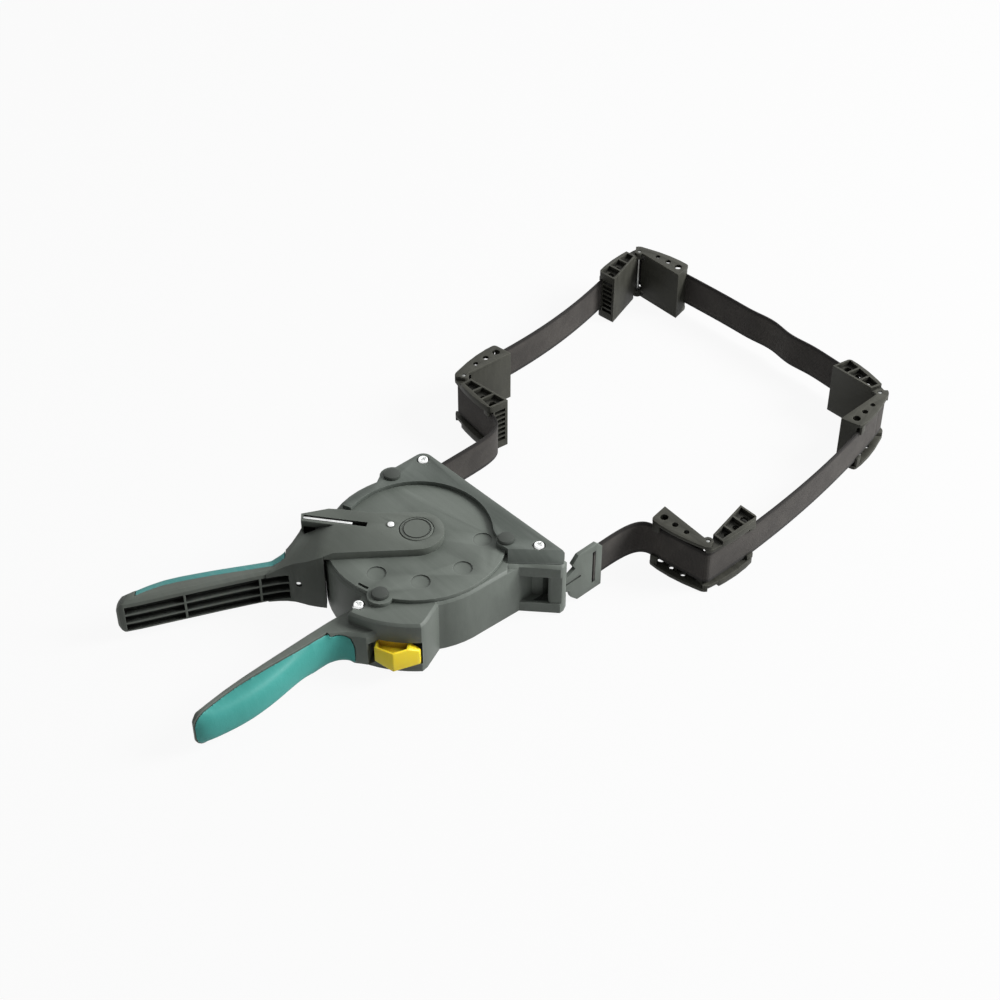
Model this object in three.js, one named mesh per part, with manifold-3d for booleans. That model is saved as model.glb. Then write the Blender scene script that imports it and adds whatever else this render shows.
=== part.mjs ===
// Ratchet band clamp: a reel housing with two squeeze handles, a webbing band and four hinged corner jaws.
// Millimetres, +Z up. The origin is on the reel's axis, on the face that lies on the bench.
// +Y points from the handles to the jaws.
import * as THREE from 'three';
import { mergeVertices } from 'three/addons/utils/BufferGeometryUtils.js';
import Module from 'manifold-3d';

const wasm = await Module();
wasm.setup();

// Fits
const seatGap = 0.3; // between pieces that rest on each other
const runGap = 0.3; // between pieces that turn or slide on each other
const overcut = 1; // how far a cut runs past the face it opens

// Band
const bandWidth = 25;
const bandThick = 1.3;
const bandMiddle = 19; // height of the band's centre line above the bench
const woundRadius = 24; // outside of the band on the reel

// Housing
const bodyRadius = 57;
const bodyWall = 6;
const bodyRound = 1.5; // rounding of the housing's outer edges
const floorThick = 3;
const frontFace = bodyRadius - 3.5; // reel axis to the flat front
const cornerX = 9.5 - bodyRadius; // centre of the rounded left front corner
const exitX = cornerX - 2; // where the band leaves the front face
const cornerRadius = 6.5;
const noseRight = bodyRadius + 20.5;
const noseStart = frontFace - 27.5; // where the slanted side of the nose leaves the round body
const noseDrop = 2; // how far the nose lies below the top of the body
const noseWall = 2;
const noseFlare = 1.9; // how far the body's side has run out where the nose starts
const windowLow = 9; // the recess between the nose's two ledges
const windowHeight = 22;
const windowDeep = 9;
const columnFrom = 21.3; // where the column at the nose's end starts along the slanted side
const columnBack = 0.9; // how far the nose's end stands back between its ledges
const slopeRun = 9; // width of the slope between the front plate's top and the slanted side
const slopeFrom = -3; // where the slope starts along that side
const podRadius = bodyRadius + 16.5; // lobe that carries the release lever and the fixed handle
const podFrom = -77;
const podTo = -37;
const podFlare = -28.5; // where the lobe's side has run into the round body
const spindleRadius = 5;
const spindleBoss = 9;
const bossHeight = 6;

// Reel cover and front plate
const coverThick = 2.7;
const coverRadius = bodyRadius - 1.5;
const coverHole = 11;
const dimpleRadius = 6;
const dimpleDepth = 0.8;
const dimpleCircle = bodyRadius - 17;
const dimpleFirst = -78;
const dimpleSpacing = 40;
const dimpleCount = 4;
const slotCircle = bodyRadius - 3.2; // outer edge of the slot beside the cover's ear
const slotAngle = -78;
const slotWidth = 1.7;
const slotLength = 7.5;
const plateThick = 2.7;
const rimRadius = bodyRadius - 10.5; // round opening of the front plate
const rimOuter = bodyRadius - 4.5;
const rimEnd = 199; // angle where the rim stops beside the lever
const earRadius = 8;

// Fasteners
const studCircle = bodyRadius - 2.5;
const studAngles = { left: 155, right: 40, near: -64.5 };
const studHead = 5.3;
const studRise = 2.2;
const studShank = 2.2;
const screwHead = 3.8;
const screwRise = 1.6;
const screwSink = 1; // depth of the seat under the head
const screwShank = 1.8;
const shankLength = 11;
const rightScrew = [bodyRadius + 2, frontFace - 7.5];
const nearScrewCircle = podRadius - 8.5;
const nearScrewAngle = -73;

// Ratchet
const toothCount = 24;
const toothTip = bodyRadius - 19;
const toothRoot = toothTip - 4;
const toothLean = 2.2; // degrees that a tooth's face leans back, so that a pawl can swing out of it
const wheelThick = 4;
const flangeRadius = toothTip + 2;
const drumFlange = 2.2;
const drumCore = 12;
const pawlPivot = toothTip + 7; // reel axis to either pawl's pin
const pawlHub = 4.2;
const pawlReach = 22; // degrees from a pawl's pin to the tooth that it meets
const pawlLift = 15; // degrees that a pawl turns to clear the teeth
const pawlPinRadius = 1.6;
const pawlTail = 9;
const pawlTailRound = 2;
const holdTooth = 6; // pitches from the driven tooth to the held one
const springLeaf = 0.5;
const carrierThick = 2.8;
const carrierHub = 12;
const carrierEnd = 5.4;
const driveSquare = 13;

// Pump lever, in its own frame: x runs out along the arm, y to the side of the fixed handle
const leverAngle = -131;
const armHalf = 16.8; // its round end over the pivot
const armShift = 1.2; // how far the arm's round end lies to the near side of the pivot
const armNear = 19.8; // half width of the arm on the near side, at the rim
const armThick = 5.2;
const armFar = 20.2; // half width of the arm on the far side, at the rim
const blockInner = bodyRadius + 0.7; // inner face of the block, round the housing
const blockLow = 2;
const capRadius = 10.5;
const capSink = 1.5;
const capThick = 1.6;
const wireRadius = 1.3;
const wireFrom = [bodyRadius - 27, -5];
const wireTo = [bodyRadius + 12, -13.4];
const wireShort = 9; // how far the wire stops short of its slot's inner end
const rivetAt = [15.5, -4.2];
const rivetRadius = 1.4;
const crossPinRadius = 1.7;
const crossPinAt = [bodyRadius + 15, 21]; // along the arm, and height
const crossPinLength = 19;

// Handles
const gripLow = 6;
const gripDrop = 8; // how far the handles lie below the top of the body
const gripRound = 2.5; // rounding of the handles in plan, and its height
const gripRise = 6;
const tipRound = 9; // rounding of the handles' ends, seen from the side
const bulbRadius = 10.6; // rounded end of the soft grip beside the housing
const bulbAt = [28.2, 28.2]; // across, and beyond the round body
const bulbRise = 12; // height over which its top rounds over
const leverGripThick = 7;
const pocketRim = 2.2; // plain edge above and below the ribs
const pocketDepth = 4.2;
const ribThick = 1.3;
const ribRows = 3;

// Release lever
const podAngle = -53; // middle of the release lever, round the reel axis
const releasePivot = podRadius - 7.5;
const releaseHub = 3.6;
const releasePinRadius = 1.5;
const releaseLow = 9.3;
const releaseHigh = 24;
const keyLeft = -9.8; // the key's ends, round the lobe from the lever's middle
const keyRight = 16.6;
const keyRidge = [8.7, 2.5]; // its ridge: out from the lobe, and round it
const keyTaper = 3.5; // chamfer under its left end and over its right end
const fingerRound = 1.7;
const fingerAt = [pawlPivot + 9.2, 2.9];

// Clip
const clipPlane = noseRight - 3.5;
const clipThick = 3;
const clipNeck = 13;
const clipInside = 4.3; // length of the prongs in the nose
const clipNeckOut = 7.5;
const clipHead = 23;
const clipBar = 5.5;
const clipSlot = 2.6;
const clipSlit = 1.6;

// Corner jaws
const loopWidth = 221; // hinge to hinge along the front
const loopDepth = 190; // hinge to hinge along a side
const loopLean = 6; // degrees that the sides lean to the left
const leftHinge = [-101, 130];
const jawHeight = 2 * bandMiddle; // the band runs half way up the jaws
const jawArm = 38.5;
const jawWedge = 12.5; // degrees between a half's work face and its band face
const jawFlange = 2.4;
const jawWall = 2.4;
const jawEnd = 3;
const flangeProud = 6; // hinge axis to the flange's outer edge
const bandInner = 2.9; // hinge axis to the band's inner face
const innerTip = 0.3; // hinge axis to the line of the work face
const lugRound = 3.4;
const jawPinRadius = 1.3;
const flangeBulge = 1.6; // how far the flange's outer edge bows out
const flangeCorner = 2.5;
const jawHoles = [1.9, 2.2, 2.8];
const recessDepth = 3.4;
const recessRim = 1.3;
const ladderSlots = 7;
const ladderRib = 1.3;
const tabWidth = 5;
const tabDrop = 6;

// Heights of the stacked layers
const bandLow = bandMiddle - bandWidth / 2;
const bandHigh = bandMiddle + bandWidth / 2;
const wheelLow = bandHigh + 3 * runGap;
const wheelHigh = wheelLow + wheelThick;
const carrierLow = wheelHigh + runGap;
const carrierHigh = carrierLow + carrierThick;
const pawlLow = wheelLow + runGap;
const bodyHeight = carrierHigh + runGap + 0.2;
const coverLow = bodyHeight + seatGap;
const coverTop = coverLow + coverThick;
const plateLow = coverTop + seatGap;
const plateTop = plateLow + plateThick;
const armLow = coverTop + runGap;
const armTop = armLow + armThick;
const allHigh = armTop + overcut; // above everything, for cuts that run right through
const gripHigh = bodyHeight - gripDrop;
const noseTop = bodyHeight - noseDrop;
const windowHigh = windowLow + windowHeight;
const pocketLow = gripLow + pocketRim;
const pocketHigh = gripHigh - pocketRim - ribThick;
const clipHeight = jawHeight - 1;
const toothPitch = 360 / toothCount;
const cavityRadius = bodyRadius - bodyWall;

// Materials
function finish(color, roughness, metalness) {
  return new THREE.MeshStandardMaterial({ color, roughness, metalness });
}
const greyPlastic = finish(0x3f4744, 0.6, 0);
const leverPlastic = finish(0x373d3b, 0.6, 0);
const jawPlastic = finish(0x26291f, 0.65, 0);
const tealRubber = finish(0x3f9c96, 0.75, 0);
const yellowPlastic = finish(0xf2c914, 0.45, 0);
const webbing = finish(0x3a3531, 0.85, 0);
const steel = finish(0xb9bdbe, 0.3, 1);

const model = new THREE.Group();

// Points and outlines in plan
const point = (x, y) => new THREE.Vector2(x, y);
const origin = point(0, 0);
const radians = THREE.MathUtils.degToRad;

function polar(radius, degrees) {
  return point(radius * Math.cos(radians(degrees)), radius * Math.sin(radians(degrees)));
}

function arc(centre, radius, from, to, steps) {
  const turn = (to - from) / steps;
  return Array.from({ length: steps + 1 }, (_, i) => polar(radius, from + turn * i).add(centre));
}

function smooth(places, steps) {
  return new THREE.SplineCurve(places.map(([x, y]) => point(x, y))).getPoints(steps);
}

function bezier(start, startWay, end, endWay, steps) {
  const lead = start.clone().add(startWay);
  const follow = end.clone().add(endWay);
  return new THREE.CubicBezierCurve(start, lead, follow, end).getPoints(steps);
}

// Outline of a strip of even thickness along a path
function stripOutline(path, thick) {
  const left = [];
  const right = [];
  path.forEach((place, i) => {
    const before = path[Math.max(i - 1, 0)];
    const after = path[Math.min(i + 1, path.length - 1)];
    const along = after.clone().sub(before).normalize();
    const out = point(-along.y, along.x).multiplyScalar(thick / 2);
    left.push(place.clone().add(out));
    right.unshift(place.clone().sub(out));
  });
  return [...left, ...right];
}

// Solids
function prism(points, low, high, round = 0, rise = round) {
  const geometry = new THREE.ExtrudeGeometry(new THREE.Shape(points), {
    depth: high - low - 2 * rise,
    bevelEnabled: round > 0,
    bevelThickness: rise,
    bevelSize: round,
    bevelOffset: -round,
    bevelSegments: round > 2 ? 2 : 1,
  });
  return geometry.translate(0, 0, low + rise);
}

function cylinder(radius, low, high, at = origin, sides = 24, topRadius = radius) {
  const geometry = new THREE.CylinderGeometry(topRadius, radius, high - low, sides);
  return geometry.rotateX(Math.PI / 2).translate(at.x, at.y, (low + high) / 2);
}

function box(x0, x1, y0, y1, z0, z1) {
  const geometry = new THREE.BoxGeometry(x1 - x0, y1 - y0, z1 - z0);
  return geometry.translate((x0 + x1) / 2, (y0 + y1) / 2, (z0 + z1) / 2);
}

function turned(profile, sides = 18) {
  const points = profile.map(([radius, height]) => point(radius, height));
  return new THREE.LatheGeometry([...points, points[0]], sides).rotateX(Math.PI / 2);
}

function rod(path, radius, sides, steps) {
  const ring = new THREE.Shape(arc(origin, radius, 0, 360 - 360 / sides, sides - 1));
  return new THREE.ExtrudeGeometry(ring, { extrudePath: path, steps, bevelEnabled: false });
}

// Joining and cutting
function solid(shape) {
  if (shape instanceof wasm.Manifold) return shape;
  const bare = new THREE.BufferGeometry();
  bare.setAttribute('position', shape.getAttribute('position'));
  if (shape.index) bare.setIndex(shape.index);
  const merged = mergeVertices(bare, 1e-4);
  const vertProperties = new Float32Array(merged.getAttribute('position').array);
  const triVerts = new Uint32Array(merged.index.array);
  return new wasm.Manifold(new wasm.Mesh({ numProp: 3, vertProperties, triVerts }));
}

const join = (...shapes) => shapes.map(solid).reduce((whole, next) => whole.add(next));
const cut = (shape, ...tools) => tools.map(solid).reduce((left, tool) => left.subtract(tool), solid(shape));
const common = (shape, other) => solid(shape).intersect(solid(other));

function piece(name, shape, material, parent = model) {
  const made = solid(shape).getMesh();
  const geometry = new THREE.BufferGeometry();
  geometry.setAttribute('position', new THREE.BufferAttribute(new Float32Array(made.vertProperties), 3));
  geometry.setIndex(new THREE.BufferAttribute(new Uint32Array(made.triVerts), 1));
  geometry.computeVertexNormals();
  const mesh = new THREE.Mesh(geometry, material);
  mesh.name = name;
  parent.add(mesh);
}

function turnedGroup(degrees, at = origin) {
  const group = new THREE.Group();
  group.position.set(at.x, at.y, 0);
  group.rotation.z = radians(degrees);
  model.add(group);
  return group;
}

// Corner jaws: hinges, and the way that each half points
const leftCorner = point(...leftHinge);
const sideWay = polar(loopDepth, 90 + loopLean);
const hinges = {
  left: leftCorner,
  far: leftCorner.clone().add(sideWay),
  right: leftCorner.clone().add(sideWay).add(point(loopWidth, 0)),
  near: leftCorner.clone().add(point(loopWidth, 0)),
};
// Each side runs from one jaw's plain half to the next jaw's ribbed half
// Its arms lean out by the slack, and the free band between them bows out by so many millimetres
const sides = [
  { name: 'left', from: 'left', to: 'far', way: 90 + loopLean, slack: 1, bow: -4.5 },
  { name: 'far', from: 'far', to: 'right', way: 0, slack: 12, bow: -6 },
  { name: 'right', from: 'right', to: 'near', way: loopLean - 90, slack: 7, bow: -1.5 },
  { name: 'front', from: 'near', to: 'left', way: 180, slack: 8, bow: 0 },
];
const plainWay = Object.fromEntries(sides.map((side) => [side.from, side.way + side.slack]));
const ribbedWay = Object.fromEntries(sides.map((side) => [side.to, side.way + 180 - side.slack]));
const bandLine = bandInner + bandThick / 2;
const plainStart = (jaw) => hinges[jaw].clone().add(polar(bandLine, plainWay[jaw] + 90));
const ribbedStart = (jaw) => hinges[jaw].clone().add(polar(bandLine, ribbedWay[jaw] - 90));
const plainEnd = (jaw) => plainStart(jaw).add(polar(jawArm, plainWay[jaw]));
const ribbedEnd = (jaw) => ribbedStart(jaw).add(polar(jawArm, ribbedWay[jaw]));

const workFace = (x) => innerTip + x * Math.tan(radians(jawWedge));
const lugInnerHigh = jawHeight - jawFlange - runGap; // top of the ribbed half's hinge lugs
const lugInnerLow = lugInnerHigh - jawFlange;
const reliefRadius = flangeProud + runGap;

const outerEdge = (x) => point(x, -flangeProud - flangeBulge * Math.sin(Math.PI * x / jawArm));

// The flange of one half, with its rounded lug on the hinge axis; inward is +1 or -1 in y
function flangeOutline(inward, from) {
  const lug = [...arc(origin, lugRound, 14, 195, 5), ...arc(origin, flangeProud, 215, 270, 3)];
  const start = from > 0 ? [point(from, workFace(from)), outerEdge(from)] : lug;
  const corner = arc(point(jawArm - flangeCorner, flangeCorner - flangeProud), flangeCorner, 290, 360, 2);
  const outline = [...[0.3, 0.55, 0.8].map((share) => outerEdge(share * jawArm)), ...corner];
  outline.push(point(jawArm, workFace(jawArm)), ...start);
  return outline.map((place) => point(place.x, place.y * inward));
}

function crossWall(inward, from, to, low, high) {
  const back = -(bandInner - seatGap);
  const outline = [[from, back], [to, back], [to, workFace(to)], [from, workFace(from)]];
  return prism(outline.map(([x, y]) => point(x, y * inward)), low, high);
}

function workWall(inward, low, high) {
  const start = bandInner + runGap;
  const outline = [[start, workFace(start)], [jawArm, workFace(jawArm)]];
  const back = [[jawArm, workFace(jawArm) - jawWall], [start, workFace(start) - jawWall]];
  return prism([...outline, ...back].map(([x, y]) => point(x, y * inward)), low, high);
}

function bandTab(inward, low, high) {
  const outer = flangeProud * -inward;
  const inner = (bandInner + bandThick + runGap) * -inward;
  const end = jawArm - recessRim;
  return box(end - tabWidth, end, Math.min(inner, outer), Math.max(inner, outer), low, high);
}

// Three holes along the middle of the flange, growing towards the arm's end
function flangeHoles(inward, low, high) {
  const pitch = (jawArm - reliefRadius) / (jawHoles.length + 0.5);
  return jawHoles.map((radius, i) => {
    const x = reliefRadius + pitch * (i + 0.9);
    const y = (workFace(x) + outerEdge(x).y) / 2;
    return cylinder(radius, low - overcut, high + overcut, point(x, y * inward), 8);
  });
}

function plainHalf() {
  const inward = -1;
  const flanges = [[0, jawFlange], [jawHeight - jawFlange, jawHeight]];
  const wallLow = jawFlange - seatGap;
  const wallHigh = jawHeight - wallLow;
  const relief = (low, high) => cylinder(reliefRadius, low, high, origin, 12);
  const inside = cut(
    join(
      workWall(inward, wallLow, wallHigh),
      crossWall(inward, jawArm - jawEnd, jawArm, wallLow, wallHigh),
      crossWall(inward, jawArm / 2, jawArm / 2 + jawWall, wallLow, wallHigh),
      bandTab(inward, bandHigh - tabDrop / 3, wallHigh),
      bandTab(inward, wallLow, bandLow + tabDrop / 3),
    ),
    relief(0, jawHeight - lugInnerLow + runGap),
    relief(lugInnerLow - runGap, jawHeight),
  );
  const plates = flanges.map(([low, high]) => prism(flangeOutline(inward, 0), low, high));
  const pinHole = cylinder(jawPinRadius + runGap, -overcut, jawHeight + overcut, origin, 8);
  const holes = flanges.flatMap(([low, high]) => flangeHoles(inward, low, high));
  return cut(join(inside, ...plates), pinHole, ...holes);
}

function ribbedHalf() {
  const inward = 1;
  const topLow = lugInnerLow;
  const bottomHigh = jawHeight - lugInnerLow;
  const body = join(
    prism(flangeOutline(inward, 0), lugInnerLow, lugInnerHigh),
    prism(flangeOutline(inward, reliefRadius), topLow, jawHeight),
    prism(flangeOutline(inward, 0), jawHeight - lugInnerHigh, bottomHigh),
    prism(flangeOutline(inward, reliefRadius), 0, bottomHigh),
    workWall(inward, bottomHigh - seatGap, topLow + seatGap),
    crossWall(inward, jawArm - jawEnd, jawArm, bottomHigh - seatGap, topLow + seatGap),
    crossWall(inward, jawArm / 2, jawArm / 2 + jawWall, bottomHigh - seatGap, topLow + seatGap),
    bandTab(inward, bandHigh - tabDrop / 3, topLow + seatGap),
    bandTab(inward, bottomHigh - seatGap, bandLow + tabDrop / 3),
  );
  const cells = flangeCells(inward);
  const slotPitch = (topLow - bottomHigh) / ladderSlots;
  const ladder = Array.from({ length: ladderSlots }, (_, i) => {
    const low = bottomHigh + slotPitch * i + ladderRib / 2;
    const back = bandInner - ladderRib;
    const face = workFace(jawArm - jawEnd) - ladderRib;
    return box(jawArm - jawEnd - overcut, jawArm + overcut, -back, face, low, low + slotPitch - ladderRib);
  });
  const pinHole = cylinder(jawPinRadius + runGap, -overcut, jawHeight + overcut, origin, 8);
  return cut(body, pinHole, ...cells, ...flangeHoles(inward, topLow, jawHeight), ...ladder);
}

// The open cells in the top of the ribbed half, one round each hole
function flangeCells(inward) {
  const pitch = (jawArm - reliefRadius - recessRim) / jawHoles.length;
  return jawHoles.map((_, i) => {
    const from = reliefRadius + recessRim + pitch * i;
    const to = from + pitch - recessRim;
    const outer = -(flangeProud - recessRim);
    const outline = [
      [from, outer], [to, outer], [to, workFace(to) - recessRim], [from, workFace(from) - recessRim],
    ];
    const low = jawHeight - recessDepth;
    return prism(outline.map(([x, y]) => point(x, y * inward)), low, jawHeight + overcut);
  });
}

for (const jaw of Object.keys(hinges)) {
  piece(`jaw_${jaw}_plain`, plainHalf(), jawPlastic, turnedGroup(plainWay[jaw], hinges[jaw]));
  piece(`jaw_${jaw}_ribbed`, ribbedHalf(), jawPlastic, turnedGroup(ribbedWay[jaw], hinges[jaw]));
  piece(`jaw_${jaw}_pin`, cylinder(jawPinRadius, seatGap, jawHeight - seatGap, hinges[jaw], 10), steel);
}

// Band
const band = (path) => prism(stripOutline(path, bandThick), bandLow, bandHigh);

function bendOutline(jaw) {
  const from = ribbedWay[jaw] - 90;
  const sweep = THREE.MathUtils.euclideanModulo(from - plainWay[jaw] - 90, 360);
  const trim = THREE.MathUtils.radToDeg(seatGap / bandLine);
  return arc(hinges[jaw], bandLine, from - trim, from - sweep + trim, 8);
}

for (const side of sides.slice(0, 3)) {
  const start = plainEnd(side.from);
  const end = ribbedEnd(side.to);
  const ease = start.distanceTo(end) * 0.35;
  const bow = polar(side.bow * 4 / 3, side.way + 90);
  const startWay = polar(ease, plainWay[side.from]).add(bow);
  const endWay = polar(ease, ribbedWay[side.to]).add(bow);
  const middle = bezier(start, startWay, end, endWay, 14);
  piece(`band_${side.name}`, band([plainStart(side.from), ...middle, ribbedStart(side.to)]), webbing);
}
for (const jaw of Object.keys(hinges)) {
  piece(`band_bend_${jaw}`, band(bendOutline(jaw)), webbing);
}

// Lead: off the reel, out of the front face and round to the left jaw
const leadRadius = woundRadius + seatGap + bandThick / 2;
const guide = point(exitX, frontFace - bodyWall);
const guideWay = Math.atan2(guide.y, guide.x);
const tangent = THREE.MathUtils.radToDeg(guideWay + Math.acos(leadRadius / guide.length()));
const leadWay = guide.clone().multiplyScalar(0.35);
const leadOut = bezier(polar(leadRadius, tangent), leadWay, guide, point(0, -14), 6);
const leadStraight = point(exitX, (frontFace + ribbedEnd('left').y) / 2);
const leadTurn = bezier(leadStraight, point(0, 22), ribbedEnd('left'), polar(13, ribbedWay.left), 10);
const leadPath = [...arc(origin, leadRadius, tangent + 24, tangent + 6, 3), ...leadOut, ...leadTurn];
piece('band_lead', band([...leadPath, ribbedStart('left')]), webbing);

// Tail: from the near jaw along the back of the clip's bar and into its slot
const clipEnd = frontFace + clipNeckOut + clipHead;
const barEdge = clipEnd - clipBar;
const tailHalf = seatGap + bandThick / 2;
const tailX = clipPlane - clipThick / 2 - tailHalf;
const tailFrom = clipEnd + clipBar;
const tailStart = point(tailX, tailFrom);
const tailTurn = bezier(plainEnd('near'), polar(10, plainWay.near), tailStart, point(0, 18), 12);
const slotTurn = arc(point(tailX + tailHalf, barEdge), tailHalf, 180, 270, 4);
const tailEnd = point(clipPlane + clipThick / 2, barEdge - tailHalf);
piece('band_tail', band([plainStart('near'), ...tailTurn, ...slotTurn, tailEnd]), webbing);

// Clip: prongs in the nose, a split neck and a taller head with the band's slot
const clipLow = bandMiddle - clipHeight / 2;
const clipHigh = bandMiddle + clipHeight / 2;
const neckLow = bandMiddle - clipNeck / 2;
const neckHigh = bandMiddle + clipNeck / 2;
const headStart = frontFace + clipNeckOut;
const headChamfer = 5;
const prongEnd = frontFace - clipInside;
// Drawn flat as (y, z), then stood up on edge
const clipFlat = [
  [prongEnd, neckLow + clipSlit], [headStart - headChamfer, neckLow],
  [headStart - headChamfer / 2, clipLow + headChamfer], [headStart + headChamfer / 2, clipLow],
  [clipEnd, clipLow], [clipEnd, clipHigh - headChamfer],
  [clipEnd - headChamfer, clipHigh], [headStart + headChamfer / 2, clipHigh],
  [headStart - headChamfer / 2, clipHigh - headChamfer], [headStart, neckHigh + headChamfer / 2],
  [headStart - headChamfer, neckHigh], [prongEnd, neckHigh - clipSlit],
];
const standUp = (geometry) => geometry.rotateX(Math.PI / 2).rotateZ(Math.PI / 2).translate(clipPlane, 0, 0);
const clipPlate = prism(clipFlat.map(([y, z]) => point(y, z)), -clipThick / 2, clipThick / 2);
const slitEnd = headStart + headChamfer;
const slitLow = bandMiddle - clipSlit / 2;
const clipCut = box(prongEnd - overcut, slitEnd, slitLow, slitLow + clipSlit, -clipThick, clipThick);
const bandSlot = box(
  barEdge - clipSlot, barEdge, bandLow - seatGap, bandHigh + seatGap, -clipThick, clipThick,
);
piece('clip', cut(standUp(clipPlate), standUp(clipCut), standUp(bandSlot)), greyPlastic);

// Housing: round body, flat front with the nose, and the lobe of the release lever
const cornerCentre = point(cornerX, frontFace - cornerRadius);
const cornerWay = THREE.MathUtils.radToDeg(Math.atan2(cornerCentre.y, cornerCentre.x));
const cornerOpen = THREE.MathUtils.radToDeg(Math.acos((bodyRadius - cornerRadius) / cornerCentre.length()));
const leftTangent = cornerWay + cornerOpen;
const noseSlant = noseRight - bodyRadius;
const noseChamfer = 2 * noseWall;
const bodyOutline = [
  point(bodyRadius + noseFlare, noseStart + 2 * noseFlare), point(noseRight, noseStart + noseSlant),
  point(noseRight, frontFace - noseChamfer), point(noseRight - noseChamfer / 2, frontFace),
  ...arc(cornerCentre, cornerRadius, 90, leftTangent, 6),
  ...arc(origin, bodyRadius, leftTangent, 360, 30),
];
const podRound = 3;
const podTurn = THREE.MathUtils.radToDeg(podRound / podRadius);
const podOutline = [
  polar(cavityRadius, podFrom), ...arc(origin, podRadius, podFrom + podTurn, podTo - podTurn, 10),
  polar(podRadius - podRound, podTo), polar(bodyRadius, podFlare), polar(cavityRadius, podFlare),
];

// Fixed handle in plan, from its root along the lever's side, round the tip and back along the outside
// Each place is given across and as a distance beyond the round body
const beyond = (places) => places.map(([x, y]) => [x, -bodyRadius - y]);
const spineSide = smooth(beyond([[12, 1], [9.5, 15], [9.5, 53], [10.5, 93], [13.5, 121]]), 10);
const gripSide = smooth(beyond([
  [22.5, 121], [26.5, 95], [25, 71], [21.5, 51], [20.5, 33], [26, 22], [36, 14],
]), 14);
const handleTip = beyond([[15.5, 125], [19.5, 126]]).map(([x, y]) => point(x, y));
const handleRoot = -bodyRadius + bodyWall;
const handleSolid = prism(
  [point(20, handleRoot), ...spineSide, ...handleTip, ...gripSide, point(40, handleRoot)],
  gripLow, gripHigh, gripRound, gripRise,
);
// A handle seen from the side, with its rounded end that far from the reel axis
function sideView(end) {
  const middle = end - tipRound;
  const outline = [
    point(-end, gripLow), ...arc(point(middle, gripLow + tipRound), tipRound, 270, 360, 5),
    ...arc(point(middle, gripHigh - tipRound), tipRound, 0, 90, 5), point(-end, gripHigh),
  ];
  return prism(outline, -bodyRadius, bodyRadius).rotateX(Math.PI / 2);
}
const handleEnd = -handleTip[1].y;
const fixedHandle = common(handleSolid, sideView(handleEnd).rotateZ(-Math.PI / 2));
const [bulbX, bulbY] = bulbAt;
const bulbCentre = point(bulbX, -bodyRadius - bulbY);
const gripEdge = smooth(beyond([
  [bulbX - bulbRadius, bulbY], [17.2, 45], [15.6, 75], [15.4, 97], [18, 121],
]), 10);
// The room of the soft grip, opened out by a gap where the housing makes way for it
function gripRoom(gap) {
  const edge = gripEdge.map((place) => point(place.x - gap, place.y));
  const past = point(2 * bodyRadius, -handleEnd - overcut);
  const room = prism(
    [...edge, point(edge[edge.length - 1].x, past.y), past, point(past.x, bulbCentre.y)], 0, bodyHeight,
  );
  const wide = bulbRadius + gap;
  const shoulder = wide * 0.86;
  const levels = [gripHigh - bulbRise, gripHigh - bulbRise / 3];
  return join(
    room,
    cylinder(wide, 0, levels[0], bulbCentre, 16),
    cylinder(wide, levels[0], levels[1], bulbCentre, 16, shoulder),
    cylinder(shoulder, levels[1], gripHigh + overcut, bulbCentre, 16, wide / 2),
  );
}
piece('fixed_grip', common(fixedHandle, gripRoom(0)), tealRubber);
const handleSpine = cut(fixedHandle, gripRoom(seatGap));

// Places of the studs and screws
const studPlaces = Object.entries(studAngles).map(([name, way]) => [name, polar(studCircle, way)]);
const studAt = Object.fromEntries(studPlaces);
const screwAt = {
  left: cornerCentre,
  right: point(...rightScrew),
  near: polar(nearScrewCircle, nearScrewAngle),
};
const screwSeat = { left: plateTop, right: plateTop, near: bodyHeight };
const studSeat = { left: plateTop, right: plateTop, near: coverTop };
const studEnd = bodyHeight - shankLength / 2;

const holeDown = (at, radius, low) => cylinder(radius, low, plateTop + overcut, at, 10);
const studHoles = Object.values(studAt).map((at) => holeDown(at, studShank + seatGap, studEnd - seatGap));
const screwHoles = Object.entries(screwAt).map(([name, at]) => {
  return holeDown(at, screwShank + seatGap, screwSeat[name] - screwSink - shankLength - seatGap);
});
const screwSeats = Object.entries(screwAt).map(([name, at]) => {
  return cylinder(screwHead + seatGap, screwSeat[name] - screwSink, screwSeat[name] + overcut, at, 14);
});

// Hold pawl and release lever stand on the housing
const holdAngle = leverAngle + holdTooth * toothPitch;
const holdAt = polar(pawlPivot, holdAngle);
const postRadius = pawlPinRadius + 1.6;
const postHigh = pawlLow - runGap;
const holdPinLow = postHigh - 8;
const fingerLow = pawlLow;
const fingerHigh = carrierLow - 2 * runGap;
const inPod = (geometry) => geometry.rotateZ(radians(podAngle));
const releaseAt = point(releasePivot, 0);
const recessDeep = 2.5; // clearance round the release lever's finger
const keyClear = 12; // how far out the room for the release key runs
const podCuts = [
  box(releasePivot, podRadius + keyClear, keyLeft - 4, keyRight + 1, releaseLow - 1.5, releaseHigh + 1.5),
  cylinder(releaseHub + runGap, releaseLow - 1.5, fingerHigh + runGap, releaseAt),
  box(
    cavityRadius - recessDeep, releasePivot, -releaseHub - runGap, 9.8,
    fingerLow - runGap, fingerHigh + runGap,
  ),
  cylinder(releasePinRadius + seatGap, floorThick, bodyHeight - 1, releaseAt, 10),
].map(inPod);

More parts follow.
